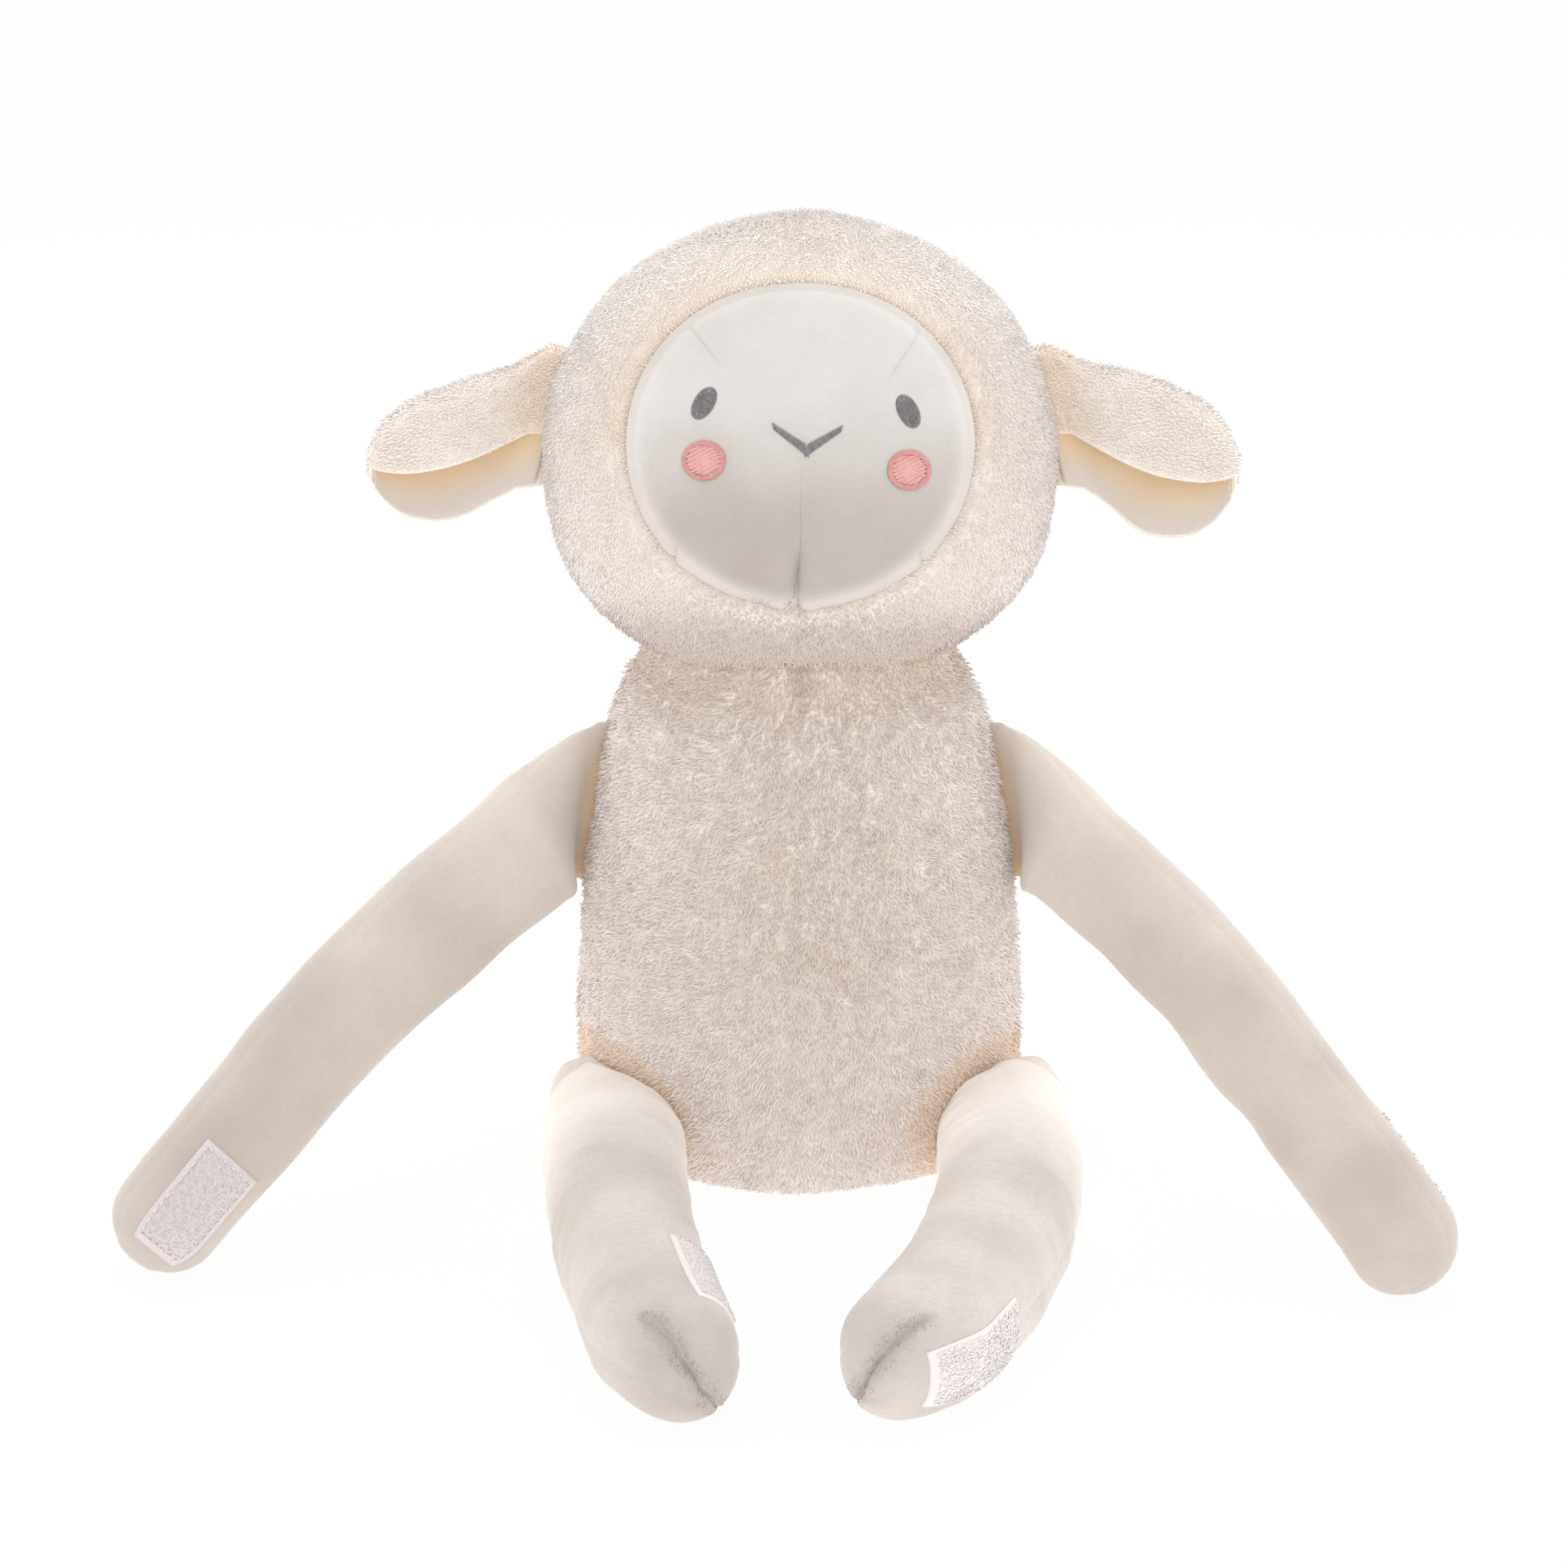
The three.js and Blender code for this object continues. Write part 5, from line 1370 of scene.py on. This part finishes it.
def swollen(grid, fixed, on_seam, start_row, end_row):
    """Stuffs a tube: its cloth swells under pressure by a few millimetres, but not where it is fixed."""
    loose = grid[start_row:end_row, :-1]
    fixed = fixed[start_row:end_row, :-1]
    held = np.maximum(fixed, SEAM_HOLD * on_seam[start_row:end_row, :-1])
    count, across = loose.shape[:2]
    index = np.arange(count * across).reshape(count, across)
    turned = np.roll(index, -1, axis=1)
    faces = np.stack([index[:-1], index[1:], turned[1:], turned[:-1]], axis=-1).reshape(-1, 4)
    normal = sheet_normals(grid)[start_row:end_row, :-1]
    work = mesh_of("stuffing", loose - normal * SWELL_START * (1 - held[..., None]), faces.tolist(), None)
    first = np.array([v.co for v in work.data.vertices])
    outward = ((first - first.mean(axis=0)) * np.array([v.normal for v in work.data.vertices])).sum()
    if outward < 0:
        work.data.flip_normals()
    group = work.vertex_groups.new(name="held")
    for number, weight in enumerate(held.ravel()):
        if weight > 0:
            group.add([number], float(weight), "REPLACE")
    settings = work.modifiers.new("puff", "CLOTH").settings
    for key, value in SWELL_CLOTH.items():
        setattr(settings, key, value)
    settings.effector_weights.gravity = 0
    scene = bpy.context.scene
    for frame_number in range(1, SWELL_FRAMES + 1):
        scene.frame_set(frame_number)
    result = work.evaluated_get(bpy.context.evaluated_depsgraph_get())
    last = np.array([v.co for v in result.data.vertices])
    moved = last - first
    far = np.linalg.norm(moved, axis=1, keepdims=True)
    moved = moved * np.minimum(1, SWELL_LIMIT * MM / np.maximum(far, 1e-9))
    scene.frame_set(1)
    done = grid.copy()
    change = calmed(((first + moved) / MM).reshape(count, across, 3) - loose)
    done[start_row:end_row, :-1] = loose + change * (1 - fixed[..., None])
    done[:, -1] = done[:, 0]
    bpy.data.objects.remove(work)
    return done


def finer(grid, times):
    """Puts smoothly placed rows and columns between those of a grid."""
    for axis in (0, 1):
        grid = np.moveaxis(grid, axis, 0)
        grid = catmull(np.linspace(0, len(grid) - 1, (len(grid) - 1) * times + 1), grid)
        grid = np.moveaxis(grid, 0, axis)
    return grid


def catmull(place, grid):
    """Rows of a grid at places between its own rows, on a smooth curve through them."""
    i = np.clip(place.astype(int), 0, len(grid) - 2)
    t = (place - i).reshape(-1, *[1] * (grid.ndim - 1))
    before, after = np.clip(i - 1, 0, None), np.clip(i + 2, None, len(grid) - 1)
    a, b, c, d = grid[before], grid[i], grid[i + 1], grid[after]
    return 0.5 * (2 * b + (c - a) * t + (2 * a - 5 * b + 4 * c - d) * t ** 2 + (3 * b - a - 3 * c + d) * t ** 3)


arm_velour = velour_material(
    "arm_velour", (0.76, 0.69, 0.625, 1), (0.44, 0.385, 0.345, 1), (0.88, 0.66, 0.40, 1))


def away_from(turn, middle):
    """Angle in degrees from a middle direction round a limb, between -180 and 180."""
    return (np.degrees(turn) - middle + 180) % 360 - 180


def dimpled(grid, runs, turns, girth, dimples):
    """Presses in the limb's dimples, and pushes out its bumps."""
    depth = np.zeros(grid.shape[:2])
    for run, middle, along, around, deep in dimples:
        off = away_from(turns, middle) / 180 * math.pi * girth
        depth += deep * np.exp(-((runs - run) / along) ** 2 - (off / around) ** 2)
    return grid - outward_normals(grid) * depth[..., None]


def outward_normals(grid):
    """Unit normals of a tube's grid, away from the middle of each of its rings."""
    normals = sheet_normals(grid)
    away = grid - grid.mean(axis=1, keepdims=True)
    return normals if (normals * away).sum() > 0 else -normals


def from_seams(turns):
    """Angle in degrees from the nearer of a limb's two side seams."""
    return np.minimum(np.abs(away_from(turns, 0)), np.abs(away_from(turns, 180)))


def pad_mask(runs, turns, limb, pad):
    """1 on the place of a limb's pad and just round it, where the cloth lies flat under the tape."""
    _, middle, shift = pad
    first = limb.length - PAD_LENGTH + shift
    off = np.abs(away_from(turns, middle)) / 180 * math.pi * limb.girth
    lengthwise = (smooth((runs - first + PAD_EASE) / PAD_EASE)
                  * smooth((first + PAD_LENGTH + PAD_EASE - runs) / PAD_EASE))
    return lengthwise * smooth((PAD_WIDTH / 2 + PAD_EASE - off) / PAD_EASE)


def stuffed(grid, taped, at_root, turns, first_row, last_row):
    """Swells a limb, except at its pad, its root and its end, and makes its grid finer."""
    fixed = np.maximum(taped, at_root)
    fixed[-HELD_ROWS:] = 1
    grid = finer(swollen(grid, fixed, from_seams(turns) < SEAM_STRIP, first_row, last_row), LIMB_FINENESS)
    grid[:, -1] = grid[:, 0]
    return grid


def closing_row(row):
    """A row of points that all lie in the middle of the given row."""
    return np.broadcast_to(row.mean(axis=0), (1, *row.shape))


def to_ends(marks, before):
    """The marks of a limb, carried on over so many rows before it and the one row that closes its end."""
    return {key: np.concatenate([np.repeat(mark[:1], before, axis=0), mark, mark[-1:]])
            for key, mark in marks.items()}


for side in ("right", "left"):
    arm = Arm(side)
    straight_runs = np.linspace(0, arm.length, LIMB_ROWS - 16, endpoint=False)
    runs = np.concatenate([[-ROOT_TUCK, -ROOT_TUCK / 2], straight_runs, arm.length + LIMB_END * TIP_STEPS])
    turns = np.linspace(0, 2 * math.pi, LIMB_COLUMNS)
    run_grid, turn_grid = np.meshgrid(runs, turns, indexing="ij")
    grid = np.array([arm.ring(run, turns, 0) for run in runs])
    taped = pad_mask(run_grid, turn_grid, arm, ARM_PADS[side])
    grid = stuffed(grid, taped, smooth((14 - run_grid) / 8), turn_grid, 1, len(grid) - 3)
    runs = np.interp(np.linspace(0, len(runs) - 1, len(grid)), np.arange(len(runs)), runs)
    run_grid, turn_grid = np.meshgrid(runs, np.linspace(0, 2 * math.pi, grid.shape[1]), indexing="ij")
    taped = pad_mask(run_grid, turn_grid, arm, ARM_PADS[side])
    grid = dimpled(grid, run_grid, turn_grid, DIMPLE_GIRTH, ARM_DIMPLES[side])
    seam_off = from_seams(turn_grid) / 180 * math.pi * ARM_GIRTH
    pucker = np.array([noise.noise((run / 4.5, 3.1 * (side == "left"), 0)) for run in runs])[:, None]
    depth = 0.5 * SEAM_DIP * seam_dip(seam_off, SEAM_WIDTH) + 0.35 * pucker * seam_dip(seam_off, 7)
    depth = depth + 0.6 * wobble(grid, 22, seed=14) * (1 - taped)
    fade = smooth((arm.length + LIMB_END - 1 - run_grid) / 8) * (1 - 0.9 * taped)
    grid = grid - outward_normals(grid) * (depth * fade)[..., None]
    grid[..., 2] = np.maximum(grid[..., 2], LIMB_FLOOR_GAP)
    # Painted warm light at the front of the arm's root, where it meets the body
    in_front = smooth(0.5 - ARMS[side][0] * np.sin(turn_grid))
    painted_fold_light = 0.55 * in_front * smooth((5 - run_grid) / 6) * smooth((0.8 - np.cos(turn_grid)) / 0.5)
    # Nap and painted light and shade: the velour is left light near the root, where the body shades it, and
    # darkened along the arm and more towards its end
    nap_and_shade = 0.05 + 0.65 * smooth(run_grid / 70) + 0.25 * wobble(grid, 30, seed=15)
    nap_and_shade = nap_and_shade + 0.2 * smooth((run_grid - 90) / 80) + 0.1 * (side == "right")
    grid = np.concatenate([closing_row(grid[0]), grid, closing_row(grid[-1])])
    made = skin(f"{side}_arm", grid, arm_velour, to_ends({"fold": painted_fold_light, "nap_and_shade": nap_and_shade}, 1))
    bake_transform(made)
    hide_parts(f"{side}_arm_front_panel", f"{side}_arm_back_panel", f"{side}_arm_filling")


# Legs: the same tubes, shorter and thicker, sewn to the lower front of the body so that they point ahead.
# Fine wrinkles cross them, and a straight seam closes each foot, with the nap brushed up on both sides of it.
LEG_ROOT_Y = -6
LEG_REACH = 167
LEG_HALF_WIDTH = 23.5
LEG_FOOT_HALF_WIDTH = 20
LEG_HALF_HEIGHT = 20.5
LEG_FOOT_HALF_HEIGHT = 18.5
LEG_GIRTH = 21
KNEE_REACH = 92
HIP_BEVEL = math.radians(60)
# Along a leg, how far and in what steps its start is looked for
START_REACH = 100
START_STEP = 0.5
# Each leg: its side of the toy, and how far its root, knee and foot lie from the middle
LEGS = {"right": (-1, 60, 61, 38), "left": (1, 64, 76, 31)}
WRINKLE_SPACING = 4.6
WRINKLE_DEPTH = 0.42
FOOT_SEAM_DEPTH = 1.2
FOOT_TAPER = 8.0
HIP_CORNER = 14
HIP_CORNER_DEPTH = 1.8
# Rows of cloth that close a leg at its hip, as shares of the way from its middle to its edge
HIP_CAPS = (0.0, 0.25, 0.5, 0.75)
FOOT_SEAM_LEAN = math.radians(38)
FOOT_NAP = (0.36, 0.75, 0.6, 0.9, 2.0, 1.2)

leg_velour = velour_material(
    "leg_velour", (0.95, 0.895, 0.85, 1), (0.41, 0.365, 0.335, 1), (0.86, 0.68, 0.47, 1))
foot_nap_material = pile_material(
    "foot_nap", (0.50, 0.44, 0.395, 1), (0.62, 0.56, 0.52, 1), (0.50, 0.44, 0.40, 1), 0.7)


class Leg:
    """The form of a leg: rings at a run along it, wide across the floor."""
    girth = (LEG_FOOT_HALF_WIDTH + LEG_FOOT_HALF_HEIGHT) / 2

    def __init__(self, side):
        sign, root, knee, foot = LEGS[side]
        self.sign = sign
        height, foot_height = LEG_HALF_HEIGHT - FLAT_DEPTH, LEG_FOOT_HALF_HEIGHT - FLAT_DEPTH
        self.bend = bend_line([(sign * root, LEG_ROOT_Y, height), (sign * knee, -KNEE_REACH, height),
                               (sign * foot, -LEG_REACH, foot_height)])
        self.length = self.bend[2][-1]
        joint = next(joint for joint in frame["joints"] if joint["name"] == f"{side}_hip")
        self.hip = np.array(joint["pos_m"]) * 1000
        axis = unit(np.array(joint["axis"]))
        ahead = on_line(self.bend, 0)[1]
        self.ahead = unit(ahead - axis * axis.dot(ahead))
        under = unit(np.cross(axis, self.ahead))
        self.under = under if under[2] < 0 else -under
        self.bevel = -self.ahead * math.sin(HIP_BEVEL) + self.under * math.cos(HIP_BEVEL)

    def frame_at(self, run):
        """The middle of the leg at a run, its direction, and the level direction across it."""
        centre, tangent = on_line(self.bend, run)
        return centre, tangent, unit(np.array([-tangent[1], tangent[0], 0]))

    def ring(self, run, turn, inset):
        centre, _, wide = self.frame_at(run)
        share = min(max(run, 0) / self.length, 1)
        u, w = section(turn)
        end = end_share(run, self.length)
        half_wide = (lerp(LEG_HALF_WIDTH, LEG_FOOT_HALF_WIDTH, share) - inset) * end
        half_high = (lerp(LEG_HALF_HEIGHT, LEG_FOOT_HALF_HEIGHT, share) - inset) * end
        return centre + np.outer(u * half_wide, wide) + np.outer(w * half_high, [0, 0, 1])

    def settled(self, points):
        """The same points, moved in with the taper that the foot has on its outer side."""
        centre, tangent, wide = self.frame_at(self.length)
        wide = wide * self.sign
        off = points - centre
        outer = smooth(0.5 + 0.5 * off @ wide / LEG_FOOT_HALF_WIDTH)
        return points - (FOOT_TAPER * outer * smooth((off @ tangent + 14) / 28))[..., None] * wide

    def cut_away(self, point):
        """Whether a point is taken by the body, lies behind the hip seam, or below its bevel."""
        off = point - self.hip
        in_body = point[2] < NECK_HEIGHT and body_depth(*point, 0.3) < 1
        below_bevel = off.dot(self.bevel) > 0 and off.dot(self.under) > 0
        return in_body or off.dot(self.ahead) < 0 or below_bevel

    def starts(self, turns):
        """The run at which the leg's cloth comes free of the body, for each direction round it."""
        tried = np.arange(0, START_REACH + START_STEP, START_STEP)
        trial = np.array([self.ring(run, turns, 0) for run in tried])
        taken = [[run for run, point in zip(tried, column) if self.cut_away(point)]
                 for column in trial.swapaxes(0, 1)]
        return np.array([max(runs) + START_STEP / 2 if runs else 0.0 for runs in taken])


for side in ("right", "left"):
    leg = Leg(side)
    sign = LEGS[side][0]
    turns = np.linspace(0, 2 * math.pi, LIMB_COLUMNS)
    starts = leg.starts(turns)
    run_grid = np.concatenate([
        lerp(starts, leg.length, np.linspace(0, 1, LIMB_ROWS - 18)[:, None]),
        leg.length + LIMB_END * TIP_STEPS[1:, None] + 0 * turns])
    turn_grid = turns + 0 * run_grid
    grid = np.array([[leg.ring(run, turns[k:k + 1], 0)[0] for k, run in enumerate(row)] for row in run_grid])
    taped = pad_mask(run_grid, turn_grid, leg, LEG_PADS[side])
    grid = stuffed(grid, taped, smooth((starts + 9 - run_grid) / 6), turn_grid, 0, len(grid) - 2)
    run_grid = finer(run_grid[..., None], LIMB_FINENESS)[..., 0]
    turn_grid = np.linspace(0, 2 * math.pi, grid.shape[1]) + 0 * run_grid
    taped = pad_mask(run_grid, turn_grid, leg, LEG_PADS[side])
    crossing = np.stack([run_grid / WRINKLE_SPACING, np.cos(turn_grid) * 1.1 + run_grid * 0.03,
                         np.sin(turn_grid) * 1.1 + 5 * (side == "left")], axis=-1)
    wrinkle = wobble(crossing, 1, seed=0)
    upper = smooth((leg.length * 0.85 - run_grid) / (leg.length * 0.5))
    depth = WRINKLE_DEPTH * wrinkle * 2 * (0.35 + 0.65 * upper)
    seam_off = from_seams(turn_grid) / 180 * math.pi * LEG_GIRTH
    depth = depth + SEAM_DIP * seam_dip(seam_off, SEAM_WIDTH) + 0.5 * wobble(grid, 20, seed=16)
    depth = depth * (1 - 0.9 * taped) * smooth((leg.length + LIMB_END - 3 - run_grid) / 10)
    # The corner of the seam allowance stands out behind the outer top of the hip
    from_root = run_grid - run_grid[:1]
    corner = HIP_CORNER * seam_dip(away_from(turn_grid, 90 - 50 * sign), 46)
    folded = smooth(corner - from_root)
    depth = depth + HIP_CORNER_DEPTH * folded
    grid = grid - outward_normals(grid) * depth[..., None]
    centre, tangent, wide = leg.frame_at(leg.length)
    lean = FOOT_SEAM_LEAN * -sign
    off = grid - centre + 1.2 * wobble(grid, 5, seed=18)[..., None] * wide
    across = off @ wide * math.cos(lean) + off[..., 2] * math.sin(lean)
    ahead = off @ tangent
    foot = smooth((ahead + 2) / 12)
    grid = leg.settled(grid)
    crease = FOOT_SEAM_DEPTH * foot * seam_dip(across, 0.9)
    grid = grid - crease[..., None] * tangent
    grid[..., 2] = np.maximum(grid[..., 2], LIMB_FLOOR_GAP)
    # Painted warm light at the hip seam and in the fold of the hip corner
    painted_fold_light = 0.2 * seam_dip(from_root, 5) + 0.35 * seam_dip(from_root - corner, 0.8) * (corner > 2)
    # Nap and painted light and shade: light near the hip, where the body shades it, and darker towards the
    # foot, in the hip corner's fold, along the foot's seam crease and over the foot's end
    nap_and_shade = 0.85 * smooth((run_grid - 40) / 60) + 0.08 * wobble(grid, 26, seed=17) + 0.4 * folded
    nap_and_shade = nap_and_shade + foot * (0.2 * seam_dip(across, 8) + 0.55 * seam_dip(across, 1.7))
    nap_and_shade = nap_and_shade + 0.1 * smooth((ahead + 30) / 40) - 0.12 * (side == "left")
    pole = leg.hip + leg.ahead * 0.4
    caps = out_of_body(np.array([lerp(pole, grid[0], share) + 0 * grid[0] for share in HIP_CAPS]), 0.35)
    grid = np.concatenate([caps, grid, closing_row(grid[-1])])
    made = skin(f"{side}_leg", grid, leg_velour, to_ends({"fold": painted_fold_light, "nap_and_shade": nap_and_shade}, len(caps)))
    start_at = leg.hip - leg.ahead * 1
    tuple(start_at * MM)
    tuple((start_at + leg.ahead * 24) * MM)
    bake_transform(made)
    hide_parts(f"{side}_leg_upper_panel", f"{side}_leg_under_panel", f"{side}_leg_filling")
    # The nap is brushed up along the foot's seam
    first = int(np.argmax(ahead.max(axis=1) > 0))
    strip = grid[len(caps) + first:-2]
    ruffled = (foot * seam_dip(across, 4.2))[first:][:len(strip)] + 0.25 * wobble(strip, 3, seed=19)
    fuzz = grow_pile(f"{side}_foot_nap", strip, brushed(strip, 0 * strip + [0.4, 0, 1]),
                     {"trim": smooth((ruffled - 0.3) / 0.5)}, foot_nap_material, 21, *FOOT_NAP)
    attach(fuzz, f"{side}_leg")


# Tape on the limbs: a woven band with a flat selvedge along both sides, sewn on all round with white thread.
# The hooks are stiff bent hairs in rows, and the loops are a low brushed felt.
TAPE_ROWS = 46
TAPE_COLUMNS = 34
TAPE_THICKNESS = 0.9
SELVEDGE = 1.6
SELVEDGE_HEIGHT = 0.3
BAND_RISE = 0.525
RIB_HEIGHT = 0.06
RIB_TURNS = 42
STITCH_INSET = 2.0
STITCH_LENGTH = 2.2
STITCH_STEP = 2.9
HOOK_STEP = 1.15
# Heights over the limb, where the hooks and the stitches stand on the band
HOOK_FOOT = 0.75
STITCH_FOOT = 1.2
LOOP_PILE = (0.75, 1.1, 1.6, 0.8, 3.0, 1.6)


def tape_material(name, light, dark, glow=0.1):
    """Nylon tape: speckled, with a cool sheen, and a painted glow of its own colour as strong as glow."""
    made, start, place = fabric(name)
    speck = place.noise(1100.0)
    colour = speck.clamp(0.3, 0.7).mix(dark, light)
    principled(start, {"Base Color": colour, "Roughness": 0.5, "Normal": speck.bump(0.5, 0.3),
                       "Sheen Weight": 0.3, "Sheen Roughness": 0.3,
                       "Emission Color": colour, "Emission Strength": glow})
    return made


tape_finish = tape_material("tape_band", (0.62, 0.575, 0.575, 1), (0.54, 0.49, 0.49, 1))
hook_finish = tape_material("tape_hooks", (0.66, 0.615, 0.615, 1), (0.58, 0.535, 0.535, 1))
# Painted light: the legs' tape is a lighter copy of the arms' tape that glows more, for light on pads that face
# sideways and down
painted_lit_tape_finish = tape_material("painted_lit_tape_band", (0.70, 0.655, 0.645, 1), (0.66, 0.615, 0.605, 1), 0.22)
painted_lit_hook_finish = tape_material("painted_lit_tape_hooks", (0.73, 0.69, 0.685, 1), (0.69, 0.65, 0.645, 1), 0.22)
white_thread = thread_material("white_thread", (0.80, 0.77, 0.765, 1), (0.70, 0.67, 0.665, 1))


def hook_shape():
    """One stiff hair of hook tape, bent over at its top: three sides, one unit tall."""
    rings = [(0, 0, 0.12), (0, 0.6, 0.11), (0.16, 0.95, 0.1), (0.42, 0.9, 0.09)]
    points = [(x + size * math.cos(turn), size * math.sin(turn), z - (x > 0.1) * size * math.cos(turn) * 0.8)
              for x, z, size in rings for turn in np.linspace(0, 2 * math.pi, 4)[:3]]
    points.append((0.5, 0, 0.6))
    faces = [(2, 1, 0), *prism_walls(0), *prism_walls(3), *prism_walls(6),
             *[(9 + k, 9 + (k + 1) % 3, 12) for k in range(3)]]
    return small_shape("hook", points, faces)


hook = hook_shape()


def pad_on(limb, limb_name, finishes, kind, middle, shift):
    """A pad on a limb: its band, the hooks or loops on it, and the stitching round its border."""
    start_run = limb.length - PAD_LENGTH + shift
    half = PAD_WIDTH / 2

    def place(run, across, lift):
        """A place on the pad: millimetres along it, -1 to 1 across it, and the height over the limb."""
        points = [limb.ring(start_run + a, np.array([math.radians(middle) + b * half / limb.girth]), -c)[0]
                  for a, b, c in np.broadcast(run, across, lift)]
        return limb.settled(np.array(points).reshape(*np.broadcast(run, across, lift).shape, 3))

    along, across = np.meshgrid(
        np.linspace(0, PAD_LENGTH, TAPE_ROWS), np.linspace(-1, 1, TAPE_COLUMNS), indexing="ij")
    edge = np.minimum(1 - np.abs(across), np.minimum(along, PAD_LENGTH - along) / half) * half
    grid = place(along, across, PAD_GAP + SELVEDGE_HEIGHT + BAND_RISE * smooth(edge / SELVEDGE)
                 + RIB_HEIGHT * np.sin(across * RIB_TURNS))
    core = limb.ring(start_run + PAD_LENGTH / 2, np.array([0.0, math.pi]), 0).mean(axis=0)
    if (sheet_normals(grid) * (grid - core)).sum() < 0:
        grid = grid[:, ::-1]
    band = cloth(f"{limb_name}_{kind}_band", grid, TAPE_THICKNESS, finishes[0])
    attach(band, limb_name)
    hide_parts(f"{limb_name}_{kind}_patch")
    inset = SELVEDGE / half
    if kind == "hook":
        rows = np.arange(SELVEDGE + 0.8, PAD_LENGTH - SELVEDGE - 0.6, HOOK_STEP)
        columns = np.arange(-1 + inset * 1.3, 1 - inset * 1.3, HOOK_STEP / half)
        a, b = np.meshgrid(rows, columns, indexing="ij")
        shake = np.random.default_rng(5).uniform(-0.3, 0.3, (2, *a.shape))
        a, b = (a + shake[0]).ravel(), (b + shake[1] * 0.1).ravel()
        foot, top = place(a, b, HOOK_FOOT), place(a, b, HOOK_FOOT + 1)
        ahead = place(a + 0.5, b, HOOK_FOOT) - foot
        lay = ahead * np.where(np.arange(len(a)) % 2, 1, -1)[:, None]
        wild = np.random.default_rng(6).normal(0, 0.25, foot.shape)
        hooks = sew(f"{limb_name}_hooks", hook, finishes[1], foot, lay + wild * 0.5, top - foot + wild,
                    (1.1, 1.1, 1.05))
        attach(hooks, limb_name)
    else:
        inner = (np.abs(across) < 1 - inset) & (along > SELVEDGE) & (along < PAD_LENGTH - SELVEDGE)
        felt = grow_pile(f"{limb_name}_loops", grid, brushed(grid, np.broadcast_to([0.3, 0, 0.2], grid.shape)),
                         {"trim": inner}, finishes[1], 9, *LOOP_PILE)
        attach(felt, limb_name)
    side_line = 1 - STITCH_INSET / half
    spots = [(a, b, 0) for b in (-side_line, side_line)
             for a in np.arange(STITCH_INSET + 1, PAD_LENGTH - STITCH_INSET, STITCH_STEP)]
    spots += [(a, b, 1) for a in (STITCH_INSET, PAD_LENGTH - STITCH_INSET)
              for b in np.arange(-side_line + 0.12, side_line, STITCH_STEP / half)]
    a, b, crosswise = np.array(spots).T
    foot, top = place(a, b, STITCH_FOOT), place(a, b, STITCH_FOOT + 1)
    ahead = place(np.where(crosswise, a, a + 0.5), np.where(crosswise, b + 0.05, b), STITCH_FOOT) - foot
    stitches = sew(f"{limb_name}_pad_stitches", thread, white_thread, foot, ahead, top - foot,
                   (STITCH_LENGTH, 0.6, 0.55))
    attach(stitches, limb_name)
    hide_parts(f"{limb_name}_patch_stitching")


for side in ("right", "left"):
    pad_on(Arm(side), f"{side}_arm", (tape_finish, hook_finish), *ARM_PADS[side])
    pad_on(Leg(side), f"{side}_leg", (painted_lit_tape_finish, painted_lit_hook_finish), *LEG_PADS[side])


# Last: the shapes that the node trees repeat are taken out, and the box round all that is shown is measured.
for shape in (tuft, thread, hook):
    bpy.data.objects.remove(shape)
low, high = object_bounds()
